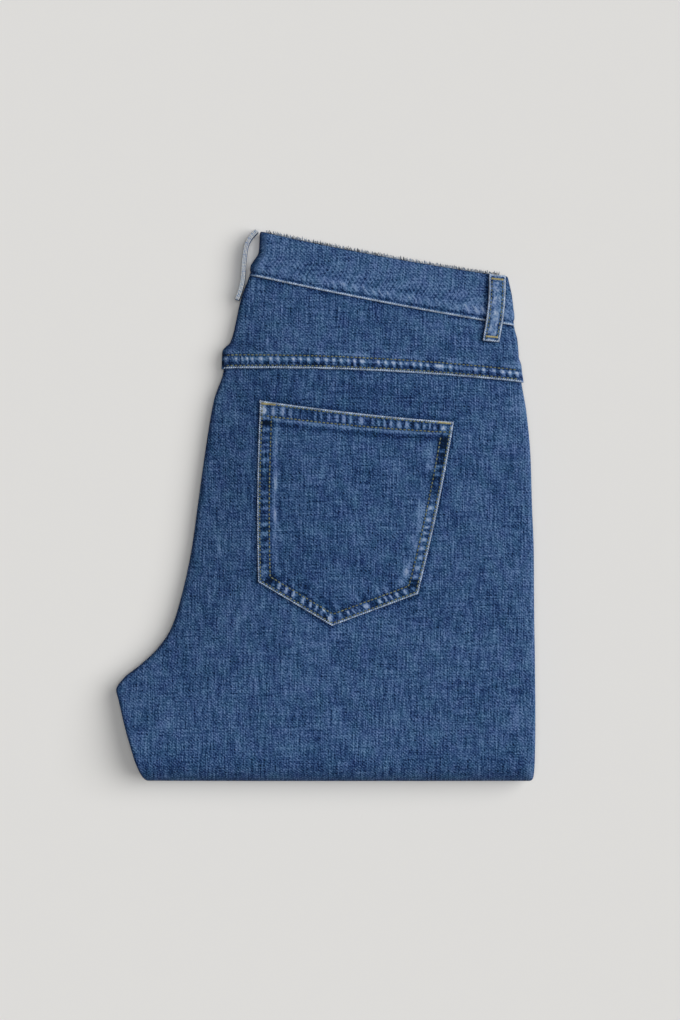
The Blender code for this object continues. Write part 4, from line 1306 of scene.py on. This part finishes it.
def make_pocket():
    tip = pocket_tip_share()
    left_columns = round(POCKET_COLUMNS * tip)
    across = np.concatenate([
        np.linspace(0.0, tip, left_columns, endpoint=False),
        np.linspace(tip, 1.0, POCKET_COLUMNS - left_columns),
    ])
    edge_steps = np.array([0.0, 0.0035, 0.008])
    across = np.concatenate([edge_steps, across[2:-2], 1.0 - edge_steps[::-1]])
    downs = np.linspace(0.0, 1.0, POCKET_ROWS)
    downs = np.concatenate([edge_steps * 0.9, downs[2:-2], 1.0 - edge_steps[::-1] * 0.9])
    across, downs = np.meshgrid(across, downs)
    x, y = pocket_spot(across, downs)
    z = heights_on(["leg"], x, y) + LAYER_GAP + POCKET_WALL
    edges = pocket_edges(x, y)
    inside = {name: value[0] for name, value in edges.items()}
    run = {name: value[1] for name, value in edges.items()}
    nearest = np.minimum.reduce(list(inside.values()))
    sides = np.minimum.reduce([inside[name] for name in ("left", "low_left", "low_right", "right")])
    hem_depth = HEM_ROW_LEFT + (HEM_ROW_RIGHT - HEM_ROW_LEFT) * across
    hem = 1.0 - smooth_step((inside["top"] - hem_depth - 0.4) / 1.4)
    z += HEM_RISE * hem
    inner = INNER_ROW + (INNER_ROW_RIGHT - INNER_ROW) * smooth_step((across - 0.3) * 3.0)
    turned = 1.0 - smooth_step((sides - inner - 0.6) / 1.6)
    z += 0.35 * turned * (1.0 - hem)

    wear_and_shading = shading_and_tone(x, y) - 0.03
    spot_depth, spot_pale = hollows(x, y, POCKET_SPOTS)
    wear_and_shading += 0.03 * soft_noise(x, y, 19.0, 71) + spot_pale
    z -= 0.6 * spot_depth
    names = ("left", "low_left", "low_right", "right")
    for number, name in enumerate(names):
        ripple = pucker(run[name] + 0.2 * inside[name], 6.6, 73 + number)
        others = np.minimum.reduce([inside[other] for other in names if other != name])
        mine = smooth_step((others - inside[name]) / 3.0 + 0.5)
        between = band_pass(inside[name], OUTER_ROW + 1.0, inner - 1.0, 2.6) * mine * (1.0 - hem)
        strength = {"left": 0.62, "low_left": 1.0, "low_right": 1.0, "right": 0.68}[name]
        z += between * strength * (0.24 * ripple + 0.12)
        wear_and_shading += between * (strength * 1.05 * smooth_step(0.2 + 1.5 * ripple) - 0.34)
        patches = 0.85 + 0.45 * soft_noise(x, y, 5.0, 111 + number)
        wear_and_shading += seam_tone(name, inside[name]) * patches * mine * (1.0 - hem)
        beside = band_pass(inside[name], inner + 1.6, inner + 8.0, 2.4) * mine * (1.0 - hem)
        wear_and_shading += 0.26 * beside * soft_noise(x, y, 5.2, 91 + number) * {"left": 0.4}.get(name, 1.0)
        if name == "right":
            low = smooth_step((20.0 - y) / 30.0)
            wear_and_shading += 0.3 * between * low
    hem_ripple = pucker(run["top"] + 0.1 * inside["top"], 6.0, 83)
    hem_between = band_pass(inside["top"], OUTER_ROW + 1.2, hem_depth - 1.2, 2.6)
    z += hem_between * (0.22 * hem_ripple + 0.1)
    wear_and_shading += hem_between * (0.85 * smooth_step(0.3 + 1.4 * hem_ripple) - 0.27)
    wear_and_shading += seam_tone("mouth", inside["top"]) + seam_tone("hem", inside["top"] - hem_depth)
    # Painted shade in the grooves of the mouth's stitch rows
    for row in (inside["top"] - OUTER_ROW - 0.5, inside["top"] - hem_depth):
        z -= ROW_DEPTH * np.exp(-(row / ROW_HALF_WIDTH) ** 2)
        wear_and_shading -= 0.26 * np.exp(-(row / 1.0) ** 2)
    # Painted shade in the grooves of the side rows
    for row in (sides - OUTER_ROW, sides - inner):
        z -= ROW_DEPTH * np.exp(-(row / ROW_HALF_WIDTH) ** 2) * (1.0 - 0.6 * hem)
        wear_and_shading -= 0.3 * np.exp(-(row / 1.0) ** 2) * (1.0 - hem)
    radiating = pucker(x + 0.4 * (y + 90.0) * np.sign(x - POCKET_TIP[0]), 8.5, 87)
    above = band_pass(sides, inner + 0.8, inner + 7.5, 4.0)
    lower = smooth_step((-48.0 - y) / 12.0)
    wear_and_shading += above * lower * (0.5 * smooth_step(radiating) - 0.1)
    z += 0.14 * above * lower * radiating
    mitre_start = (POCKET_TIP[0] - MITRE_REACH[0], POCKET_TIP[1] + MITRE_REACH[1])
    mitre, mitre_run, mitre_length = segment_distance(x, y, mitre_start, POCKET_TIP)
    on_mitre = np.exp(-(mitre / 0.8) ** 2) * band_pass(mitre_run, 0.0, mitre_length, 3.0)
    beside_mitre = np.exp(-((mitre - 2.2) / 1.2) ** 2) * band_pass(mitre_run, 0.0, mitre_length, 3.0)
    wear_and_shading += 0.75 * on_mitre - 0.3 * beside_mitre
    z += 0.2 * on_mitre
    z -= 0.75 * np.exp(-(nearest / 0.55) ** 2)
    rope = soft_noise(x, y, 1.6, 89)
    rim = np.exp(-(nearest / 1.15) ** 2)
    wear_and_shading += rim * (0.5 + 0.25 * rope)
    grid = np.stack([x, y, z], axis=-1)
    SURFACES["pocket"] = surface_tree(grid)
    cloth_mm = np.stack([x, y], axis=-1) + CLOTH_PLACES["pocket"]
    thing = sheet_piece("pocket_cloth", grid, POCKET_WALL, cloth_mm, wear_and_shading,
                        bpy.data.materials["denim_face"])
    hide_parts("back_pocket")
    return thing


# Belt loops

SIDE_LOOP_ROWS = 64
SIDE_LOOP_COLUMNS = 19


def side_loop_frame():
    top = np.array(SIDE_LOOP_TOP)
    low = np.array(SIDE_LOOP_LOW)
    along = (low - top) / np.linalg.norm(low - top)
    return top, low, along, np.array([-along[1], along[0]])


def side_loop_spots(share, offset):
    """Plan points on the side loop, at shares of its length and offsets from its bowed middle line."""
    top, low, _, aside = side_loop_frame()
    share = np.asarray(share, float)[..., None]
    return top + (low - top) * share + aside * (offset + SIDE_LOOP_BOW * np.sin(math.pi * share))


def loop_shade(x, y):
    """How much darker the cloth is beside the side loop: the painted shadow that the loop casts."""
    top, low, along, aside = side_loop_frame()
    length = np.linalg.norm(low - top)
    run = (x - top[0]) * along[0] + (y - top[1]) * along[1]
    across = (x - top[0]) * aside[0] + (y - top[1]) * aside[1]
    across = across - SIDE_LOOP_BOW * np.sin(math.pi * np.clip(run / length, 0.0, 1.0))
    beside_left = np.exp(-(np.maximum(-across - 0.5 * LOOP_WIDTH, 0.0) / 2.6) ** 2)
    beside_right = np.exp(-(np.maximum(across - 0.5 * LOOP_WIDTH, 0.0) / 1.3) ** 2)
    below = np.exp(-(np.maximum(run - length, 0.0) / 1.4) ** 2)
    beside = np.where(across < 0.0, 0.42 * beside_left, 0.2 * beside_right)
    return -(beside * below * smooth_step((run + 1.0) / 2.0))


def make_side_loop():
    top, low, along, aside = side_loop_frame()
    share = np.linspace(0.0, 1.0, SIDE_LOOP_ROWS)[:, None]
    offset = np.linspace(-0.5, 0.5, SIDE_LOOP_COLUMNS)[None, :] * LOOP_WIDTH
    middle = side_loop_spots(share[:, 0], 0.0)
    x = middle[:, :1] + aside[0] * offset
    y = middle[:, 1:] + aside[1] * offset
    heights = [heights_on(["band", "yoke", "leg"], x + along[0] * reach, y + along[1] * reach)
               for reach in (-3.0, 0.0, 3.0)]
    base = np.nanmax(np.array(heights), axis=0)
    base = np.where(np.isnan(base), np.nanmedian(base), base)
    for _ in range(6):
        padded = np.pad(base, ((1, 1), (1, 1)), mode="edge")
        base = (padded[:-2, 1:-1] + 2.0 * padded[1:-1, 1:-1] + padded[2:, 1:-1]) / 4.0
    flat = np.mean(base, axis=1, keepdims=True)
    lift = SIDE_LOOP_LIFT * np.sin(math.pi * share) ** 0.7
    z = 0.5 * (base + flat) + LAYER_GAP + LOOP_WALL + lift
    from_side = np.minimum(offset + 0.5 * LOOP_WIDTH, 0.5 * LOOP_WIDTH - offset) + 0.0 * share
    z -= 0.75 * np.exp(-(from_side / 0.7) ** 2)
    z -= 0.28 * np.exp(-((from_side - 2.1) / 0.8) ** 2)
    z += 0.22 * band_pass(from_side, 3.2, 20.0, 1.5)
    run = share * np.linalg.norm(low - top) + 0.0 * offset
    from_end = np.minimum(run, run[-1:] - run)
    z -= 0.5 * np.exp(-((from_end - 3.0) / 1.3) ** 2)
    rope = pucker(run, 2.0, 91)
    mottled = soft_noise(1.6 * offset + 0.5 * run, run, 2.1, 93)
    wear_and_shading = 0.25 + 0.42 * mottled
    wear_and_shading = wear_and_shading + np.exp(-(from_side / 1.05) ** 2) * (0.85 + 0.25 * rope)
    # Painted shade in the grooves of the two stitch rows
    wear_and_shading = wear_and_shading - 0.46 * np.exp(-((from_side - 2.5) / 0.9) ** 2)
    wear_and_shading = wear_and_shading + 0.18 * band_pass(from_side, 4.0, 20.0, 2.0)
    wear_and_shading = wear_and_shading + 0.7 * np.exp(-(from_end / 1.0) ** 2) - 0.5 * np.exp(-((from_end - 2.2) / 0.7) ** 2)
    wear_and_shading = wear_and_shading - 0.4 * np.exp(-((from_end - 5.0) / 0.8) ** 2)
    grid = np.stack([x, y, z], axis=-1)
    SURFACES["side_loop"] = surface_tree(grid)
    cloth_mm = np.stack([offset + 0.0 * share, -run], axis=-1) + CLOTH_PLACES["side_loop"]
    thing = sheet_piece("side_loop_cloth", grid, LOOP_WALL, cloth_mm, wear_and_shading,
                        bpy.data.materials["denim_band"])
    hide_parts("belt_loop_side")
    return thing


BACK_LOOP_STEPS = 64
BACK_LOOP_THICK = 3.3
BACK_LOOP_PROFILE = (
    (-0.36, 0.0), (-0.5, 0.03), (-0.5, 0.15), (-0.47, 0.3), (-0.49, 0.5), (-0.47, 0.7), (-0.5, 0.85),
    (-0.5, 0.95), (-0.44, 0.985), (-0.33, 1.0), (-0.22, 0.985), (-0.17, 0.94), (-0.12, 0.985), (0.0, 1.0),
    (0.12, 0.985), (0.17, 0.94), (0.22, 0.985), (0.33, 1.0), (0.44, 0.985), (0.5, 0.95), (0.5, 0.85),
    (0.47, 0.7), (0.49, 0.5), (0.47, 0.3), (0.5, 0.15), (0.5, 0.03), (0.36, 0.0),
)


def make_back_loop():
    xs = column(BACK_LOOP_ROUTE, BACK_LOOP_COLUMNS, "x")
    ys = column(BACK_LOOP_ROUTE, BACK_LOOP_COLUMNS, "y")
    steps = np.concatenate([[0.0], np.cumsum(np.hypot(np.diff(xs), np.diff(ys)))])
    run = np.linspace(0.0, steps[-1], BACK_LOOP_STEPS)
    centre = np.stack([curve_through(steps, xs, run), curve_through(steps, ys, run)], axis=-1)
    forward = unit(np.gradient(centre, axis=0))
    side = np.stack([-forward[:, 1], forward[:, 0]], axis=-1)
    profile = np.array(BACK_LOOP_PROFILE)
    grid = np.zeros((len(run), len(profile), 3))
    wear_and_shading = np.zeros((len(run), len(profile)))
    waver = 0.12 * soft_noise(run, 0.0, 9.0, 95)
    for j, (across, high) in enumerate(profile):
        grid[:, j, :2] = centre + side * ((across * BACK_LOOP_THICK) + waver)[:, None]
        grid[:, j, 2] = BACK_LOOP_BASE + high * LOOP_WIDTH + 0.1 * soft_noise(run, j * 3.0, 5.0, 96)
        # Painted shade in the two grooves along the loop's upper edge
        groove_shade = -0.9 if abs(abs(across) - 0.17) < 0.01 else 0.0
        bare = 0.95 if high > 0.9 or high < 0.02 else 0.24
        wear_and_shading[:, j] = bare + groove_shade + 0.2 * soft_noise(run, j * 2.0, 2.2, 97)
    rows, columns, _ = grid.shape
    points = grid.reshape(-1, 3)
    faces = grid_faces(rows, columns, close_columns=True).tolist()
    faces.append(tuple(range(columns)))
    faces.append(tuple((rows - 1) * columns + j for j in range(columns))[::-1])
    uv = np.stack([np.tile(profile[:, 1] * LOOP_WIDTH + profile[:, 0] * 4.0, (rows, 1)),
                   np.tile(run[:, None], (1, columns))], axis=-1) + CLOTH_PLACES["back_loop"]
    thing = new_piece("back_loop_cloth", points, faces, bpy.data.materials["denim_loop"],
                      uv.reshape(-1, 2), wear_and_shading.reshape(-1))
    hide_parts("belt_loop_back")
    return thing


# Thread

STITCH_SIDES = 6
STITCH_RINGS = ((0.0, 0.3), (0.12, 0.8), (0.35, 1.0), (0.65, 1.0), (0.88, 0.8), (1.0, 0.3))


class ThreadMesh:
    """Stitches that are gathered into one mesh."""

    def __init__(self):
        self.points = []
        self.faces = []

    def add(self, first, last, normal, width, lift, dip):
        """One stitch between two points in millimetres, its ends dipping into the cloth."""
        first, last, normal = Vector(first), Vector(last), Vector(normal).normalized()
        along = (last - first)
        length = along.length
        if length < 1e-6:
            return
        along.normalize()
        aside = normal.cross(along).normalized()
        up = along.cross(aside).normalized()
        if up.dot(normal) < 0.0:
            up.negate()
        start = len(self.points)
        for share, size in STITCH_RINGS:
            rise = lift - dip * (2.0 * share - 1.0) ** 4
            middle = first + along * (length * share) + up * rise
            radius = 0.5 * width * size
            for k in range(STITCH_SIDES):
                angle = 2.0 * math.pi * k / STITCH_SIDES
                spot = middle + aside * (radius * math.cos(angle)) + up * (0.8 * radius * math.sin(angle))
                self.points.append(tuple(spot))
        for ring in range(len(STITCH_RINGS) - 1):
            for k in range(STITCH_SIDES):
                a = start + ring * STITCH_SIDES + k
                b = start + ring * STITCH_SIDES + (k + 1) % STITCH_SIDES
                self.faces.append((a, b, b + STITCH_SIDES, a + STITCH_SIDES))
        self.faces.append(tuple(start + k for k in reversed(range(STITCH_SIDES))))
        end = start + (len(STITCH_RINGS) - 1) * STITCH_SIDES
        self.faces.append(tuple(end + k for k in range(STITCH_SIDES)))

    def piece(self, name, material):
        return new_piece(name, self.points, self.faces, bpy.data.materials[material])


def resample(route, pitch, start=0.0):
    """Pairs of distances and places every pitch along a route of plan points."""
    route = np.array(route, float)
    steps = np.concatenate([[0.0], np.cumsum(np.hypot(*np.diff(route, axis=0).T))])
    marks = np.arange(start, steps[-1], pitch)
    spots = [np.interp(marks, steps, route[:, axis]) for axis in range(2)]
    return marks, np.stack(spots, axis=-1)


def sew(mesh, route, surfaces, seed, width_share=1.0, lift=0.1):
    """A row of stitches along a route of plan points, lying on some surfaces."""
    thread = bpy.context.scene.jeans_stitching
    pitch, length = thread.pitch / MM, thread.length / MM
    route = np.array(route, float)
    steps = np.concatenate([[0.0], np.cumsum(np.hypot(*np.diff(route, axis=0).T))])
    chance = np.random.default_rng(seed)
    mark = 0.3 * pitch
    while mark + length < steps[-1]:
        ends = []
        wander = chance.uniform(-0.12, 0.12)
        for at in (mark, mark + length * chance.uniform(0.9, 1.08)):
            x = float(np.interp(at, steps, route[:, 0]))
            y = float(np.interp(at, steps, route[:, 1])) + wander
            z, normal = spot_on(surfaces, x, y)
            if z is not None:
                ends.append((Vector((x, y, z)), normal))
        if len(ends) == 2:
            mesh.add(ends[0][0], ends[1][0], ends[0][1], thread.width / MM * width_share, lift, 0.45)
        mark += pitch * chance.uniform(0.95, 1.05)


def tack(mesh, first, last, surfaces, width, seed, strands=15):
    """Bar tack: close stitches square to its length."""
    chance = np.random.default_rng(seed)
    first, last = np.array(first, float), np.array(last, float)
    along = (last - first) / np.linalg.norm(last - first)
    aside = np.array([-along[1], along[0]])
    for number in range(strands):
        middle = first + (last - first) * (number + 0.5) / strands
        lean = along * chance.uniform(-0.25, 0.25)
        ends = []
        for sign in (-0.5, 0.5):
            x, y = middle + aside * sign * width * chance.uniform(0.85, 1.1) + lean * sign
            z, normal = spot_on(surfaces, float(x), float(y))
            if z is not None:
                ends.append((Vector((float(x), float(y), z)), normal))
        if len(ends) == 2:
            mesh.add(ends[0][0], ends[1][0], ends[0][1], 0.72, 0.35, 0.35)


def rope_edge(mesh, route, surfaces, seed, width=1.1, lean=0.6, pitch=1.75):
    """Pale nubs of rubbed twill along a folded edge, each leaning across it."""
    chance = np.random.default_rng(seed)
    _, spots = resample(route, pitch)
    ways = unit(np.gradient(spots, axis=0))
    for spot, way in zip(spots, ways):
        turn = lean + chance.uniform(-0.2, 0.2)
        side = np.array([way[0] * math.cos(turn) - way[1] * math.sin(turn),
                         way[0] * math.sin(turn) + way[1] * math.cos(turn)])
        reach = 0.5 * chance.uniform(1.6, 2.4)
        z, normal = spot_on(surfaces, float(spot[0]), float(spot[1]))
        if z is None:
            continue
        first = Vector((spot[0] - side[0] * reach, spot[1] - side[1] * reach, z))
        last = Vector((spot[0] + side[0] * reach, spot[1] + side[1] * reach, z))
        mesh.add(first, last, normal, width * chance.uniform(0.7, 1.15), 0.02, 0.3)


def line_route(down, count=120, left_trim=1.0, right_trim=1.0):
    """Route along one line across the garment."""
    line = UpperLine(down)
    x = np.linspace(line.left + left_trim, line.right - right_trim, count)
    return line.place(x, 0.0)[:, :2]


def pocket_route(inset_left, inset_low, inset_right, top_inset=0.0):
    """Route round the pocket's sides and point, at a distance inside its edges."""
    def shifted(first, last, inset):
        first, last = np.array(first, float), np.array(last, float)
        along = (last - first) / np.linalg.norm(last - first)
        inward = np.array([-along[1], along[0]])
        return first + inward * inset, last + inward * inset

    def crossing(one, two):
        (p, q), (r, s) = one, two
        a = q - p
        b = s - r
        t = ((r[0] - p[0]) * b[1] - (r[1] - p[1]) * b[0]) / (a[0] * b[1] - a[1] * b[0])
        return p + a * t

    left = shifted(pocket_spot(0.0, 0.6), POCKET_LOW_LEFT, inset_left)
    low_left = shifted(POCKET_LOW_LEFT, POCKET_TIP, inset_low)
    low_right = shifted(POCKET_TIP, POCKET_LOW_RIGHT, inset_low)
    right = shifted(POCKET_LOW_RIGHT, pocket_spot(1.0, 0.6), inset_right)
    corner_left = crossing(left, low_left)
    tip = crossing(low_left, low_right)
    corner_right = crossing(low_right, right)
    route = []
    bottom = float(corner_left[1])
    for step in np.linspace(top_inset / 150.0, 0.9, 14):
        x, y = pocket_spot(0.0, step)
        if y > bottom + 10.0:
            route.append((x + inset_left, y))
    route += [tuple(corner_left), tuple(tip), tuple(corner_right)]
    back = []
    for step in np.linspace(top_inset / 150.0, 0.9, 14):
        x, y = pocket_spot(1.0, step)
        if y > float(corner_right[1]) + 10.0:
            back.append((x - inset_right, y))
    return np.array(route + back[::-1])


def make_stitching():
    olive = ThreadMesh()
    edge = down_at("lap_edge")
    for number, distance in enumerate((YOKE_LOW_ROW, YOKE_HIGH_ROW)):
        sew(olive, line_route(edge - distance), ["yoke"], 101 + number)
    seam = down_at("band_seam") - SEAM_GAP
    olive.piece("seam_stitches", "thread_olive")

    pocket = ThreadMesh()
    sew(pocket, pocket_route(OUTER_ROW, OUTER_ROW, OUTER_ROW, 3.0), ["pocket"], 111)
    sew(pocket, pocket_route(INNER_ROW, INNER_ROW_RIGHT, INNER_ROW_RIGHT, 12.0), ["pocket"], 112)
    mouth = np.array([pocket_spot(step, 0.0) for step in np.linspace(0.0, 1.0, 40)])
    sew(pocket, mouth + np.array([0.0, -OUTER_ROW]), ["pocket"], 113)
    drop = np.linspace(HEM_ROW_LEFT, HEM_ROW_RIGHT, 40)
    lower = mouth - np.stack([0.0 * drop, drop], axis=-1)
    sew(pocket, lower[1:-1], ["pocket"], 114)
    pocket.piece("pocket_stitches", "thread_olive")

    loop = ThreadMesh()
    shares = np.linspace(0.02, 0.98, 24)
    for side in (-1.0, 1.0):
        row = side_loop_spots(shares, side * (0.5 * LOOP_WIDTH - LOOP_ROW_INSET))
        sew(loop, row, ["side_loop"], 121 + int(side), 0.85)
    loop.piece("loop_stitches", "thread_olive")

    ropes = ThreadMesh()
    rope_edge(ropes, line_route(edge - 0.8), ["yoke"], 141, 1.1)
    rope_edge(ropes, line_route(seam - 0.8, left_trim=1.0, right_trim=2.0), ["band"], 142, 1.15)
    rope_edge(ropes, pocket_route(0.55, 0.55, 0.55, 0.5), ["pocket"], 143)
    rope_edge(ropes, mouth + np.array([0.0, -0.75]), ["pocket"], 144)
    for side in (-1.0, 1.0):
        rim = side_loop_spots(np.linspace(0.0, 1.0, 24), side * (0.5 * LOOP_WIDTH - LOOP_RIM_INSET))
        rope_edge(ropes, rim, ["side_loop"],
                  145 + int(side), 1.1)
    for share in (0.008, 0.992):
        ends = [side_loop_spots([share], side * (0.5 * LOOP_WIDTH - 1.0))[0] for side in (-1.0, 1.0)]
        rope_edge(ropes, ends, ["side_loop"], 151 + int(share > 0.5), 1.0)
    ropes.piece("worn_edges", "worn_yarn")

    gold = ThreadMesh()
    for share in (0.062, 0.935):
        ends = [side_loop_spots([share], side * 4.9)[0] for side in (-1.0, 1.0)]
        tack(gold, ends[0], ends[1], ["side_loop"], 1.7, 131)
    left, right = np.array(POCKET_TOP_LEFT), np.array(POCKET_TOP_RIGHT)
    mouth_way = (right - left) / np.linalg.norm(right - left)
    left_drop, right_drop = [0.0, -2.2], [0.0, -1.6]
    tack(gold, left + mouth_way * 1.0 + left_drop, left + mouth_way * 12.5 + left_drop,
         ["pocket"], 1.9, 132)
    tack(gold, right - mouth_way * 12.5 + right_drop, right - mouth_way * 2.5 + right_drop,
         ["pocket"], 1.7, 133)
    gold.piece("bar_tacks", "thread_gold")


def make_fringe():
    """Fibres that wear has pulled out of the waistband's upper fold."""
    chance = np.random.default_rng(RANDOM_SEED)
    fibres = ThreadMesh()
    line = UpperLine(0.0)
    for x in np.arange(line.left + 3.0, line.right - 6.0, 0.56):
        y = float(line.along(np.array(x)))
        z, _ = spot_on(["band"], x, y - 2.2)
        if z is None:
            continue
        root = Vector((x, y - 0.6, z - 0.35))
        way = Vector((chance.uniform(-0.9, 0.3), 1.0, chance.uniform(-0.2, 0.3))).normalized()
        tuft = 0.5 + 0.5 * math.sin(2.0 * math.pi * x / 2.7 + 2.0 * math.sin(x / 5.0))
        fibres.add(root, root + way * (2.0 + 1.8 * tuft * chance.uniform(0.4, 1.0)), Vector((0.0, 0.0, 1.0)),
                   0.55, 0.0, 0.0)
    fibres.piece("waist_fibres", "waist_fibre")


# Stage

CAMERA_AIM = (0.0114, -0.0034, 0.018)
SENSOR = 36.0
KEY_AZIMUTH = 14.0
KEY_HEIGHT = 47.0
KEY_ANGLE = 52.0
TOP_ANGLE = 24.0


def make_stage():
    stage = bpy.context.scene.jeans_stage
    scene = bpy.context.scene
    scene.view_settings.view_transform = "Standard"
    mesh = bpy.data.meshes.new("floor")
    reach = 40.0
    mesh.from_pydata([(-reach, -reach, 0.0), (reach, -reach, 0.0), (reach, reach, 0.0), (-reach, reach, 0.0)],
                     [], [(0, 1, 2, 3)])
    mesh.materials.append(floor_material(tuple(stage.floor)))
    floor = bpy.data.objects.new(tidy_name("floor"), mesh)
    scene.collection.objects.link(floor)

    lamp = bpy.data.lights.new("key_light", "SUN")
    lamp.energy = stage.key
    lamp.angle = math.radians(KEY_ANGLE)
    lamp.color = (1.0, 0.995, 0.985)
    key = bpy.data.objects.new(tidy_name("key_light"), lamp)
    azimuth, height = math.radians(KEY_AZIMUTH), math.radians(KEY_HEIGHT)
    level = math.cos(height)
    source = Vector((level * math.cos(azimuth), level * math.sin(azimuth), math.sin(height)))
    key.rotation_euler = source.to_track_quat("Z", "Y").to_euler()
    scene.collection.objects.link(key)

    lamp = bpy.data.lights.new("top_light", "SUN")
    lamp.energy = stage.top
    lamp.angle = math.radians(TOP_ANGLE)
    scene.collection.objects.link(bpy.data.objects.new(tidy_name("top_light"), lamp))

    world = scene.world or bpy.data.worlds.new("studio")
    scene.world = world
    world.use_nodes = True
    background = world.node_tree.nodes.get("Background") or world.node_tree.nodes.new("ShaderNodeBackground")
    background.inputs["Color"].default_value = (0.97, 0.985, 1.0, 1.0)
    background.inputs["Strength"].default_value = stage.fill

    lens = bpy.data.cameras.new("camera")
    lens.sensor_width = SENSOR
    lens.lens = SENSOR * (stage.camera_height - CAMERA_AIM[2]) / stage.picture_height
    lens.clip_end = 20.0
    camera = bpy.data.objects.new(tidy_name("camera"), lens)
    camera.location = (CAMERA_AIM[0], CAMERA_AIM[1], stage.camera_height)
    scene.collection.objects.link(camera)
    scene.camera = camera


def make_materials():
    thread = bpy.context.scene.jeans_stitching
    denim_material("denim_face")
    denim_material("denim_band", lightness=0.05, twill=0.26)
    denim_material("denim_loop", lightness=0.2, twill=0.05, speckle=1.1, cream=(0.52, 0.525, 0.51))
    denim_material("denim_inner", lightness=-0.02)
    thread_material("thread_olive", tuple(thread.olive), 0.45)
    thread_material("thread_gold", tuple(thread.gold), 0.5)
    thread_material("worn_yarn", (0.50, 0.60, 0.76), 0.34)
    thread_material("waist_fibre", (0.26, 0.32, 0.42), 0.12)


# Operators

class JEANS_OT_finishes(bpy.types.Operator):
    """Make the denim and thread materials."""
    bl_idname = "jeans.finishes"
    bl_label = "Finishes"

    def execute(self, context):
        make_materials()
        return {"FINISHED"}


class JEANS_OT_leg(bpy.types.Operator):
    """Make the back leg, round the bottom fold and under the pile."""
    bl_idname = "jeans.leg"
    bl_label = "Leg"

    def execute(self, context):
        make_leg()
        return {"FINISHED"}


class JEANS_OT_yoke(bpy.types.Operator):
    """Make the back yoke with its lapped lower seam."""
    bl_idname = "jeans.yoke"
    bl_label = "Yoke"

    def execute(self, context):
        make_yoke()
        return {"FINISHED"}


class JEANS_OT_waistband(bpy.types.Operator):
    """Make the folded waistband and its frayed upper edge."""
    bl_idname = "jeans.waistband"
    bl_label = "Waistband"

    def execute(self, context):
        make_waistband()
        make_fringe()
        return {"FINISHED"}


class JEANS_OT_pile(bpy.types.Operator):
    """Make the layers that lie inside the fold."""
    bl_idname = "jeans.pile"
    bl_label = "Hidden layers"

    def execute(self, context):
        make_pile()
        return {"FINISHED"}


class JEANS_OT_pocket(bpy.types.Operator):
    """Make the back pocket."""
    bl_idname = "jeans.pocket"
    bl_label = "Back pocket"

    def execute(self, context):
        make_pocket()
        return {"FINISHED"}


class JEANS_OT_loops(bpy.types.Operator):
    """Make the two belt loops."""
    bl_idname = "jeans.loops"
    bl_label = "Belt loops"

    def execute(self, context):
        make_side_loop()
        make_back_loop()
        return {"FINISHED"}


class JEANS_OT_stitching(bpy.types.Operator):
    """Sew the seams, the pocket and the loops."""
    bl_idname = "jeans.stitching"
    bl_label = "Stitching"

    def execute(self, context):
        make_stitching()
        return {"FINISHED"}


class JEANS_OT_stage(bpy.types.Operator):
    """Make the floor, the light and the camera."""
    bl_idname = "jeans.stage"
    bl_label = "Stage"

    def execute(self, context):
        make_stage()
        return {"FINISHED"}


OPERATORS = (JEANS_OT_finishes, JEANS_OT_leg, JEANS_OT_yoke, JEANS_OT_waistband, JEANS_OT_pile,
             JEANS_OT_pocket, JEANS_OT_loops, JEANS_OT_stitching, JEANS_OT_stage)


class JEANS_PT_panel(bpy.types.Panel):
    """Pieces of the folded jeans."""
    bl_idname = "JEANS_PT_panel"
    bl_label = "Folded Jeans"
    bl_space_type = "VIEW_3D"
    bl_region_type = "UI"
    bl_category = "Jeans"

    def draw(self, context):
        for operator in OPERATORS:
            self.layout.operator(operator.bl_idname)


CLASSES = (JeansCloth, JeansStitching, JeansStage) + OPERATORS + (JEANS_PT_panel,)


def register():
    for kind in CLASSES:
        bpy.utils.register_class(kind)
    bpy.types.Scene.jeans_cloth = PointerProperty(type=JeansCloth)
    bpy.types.Scene.jeans_stitching = PointerProperty(type=JeansStitching)
    bpy.types.Scene.jeans_stage = PointerProperty(type=JeansStage)


def unregister():
    del bpy.types.Scene.jeans_stage
    del bpy.types.Scene.jeans_stitching
    del bpy.types.Scene.jeans_cloth
    for kind in reversed(CLASSES):
        bpy.utils.unregister_class(kind)


def main():
    register()
    for operator in OPERATORS:
        family, name = operator.bl_idname.split(".")
        getattr(getattr(bpy.ops, family), name)()


if __name__ == "__main__":
    main()
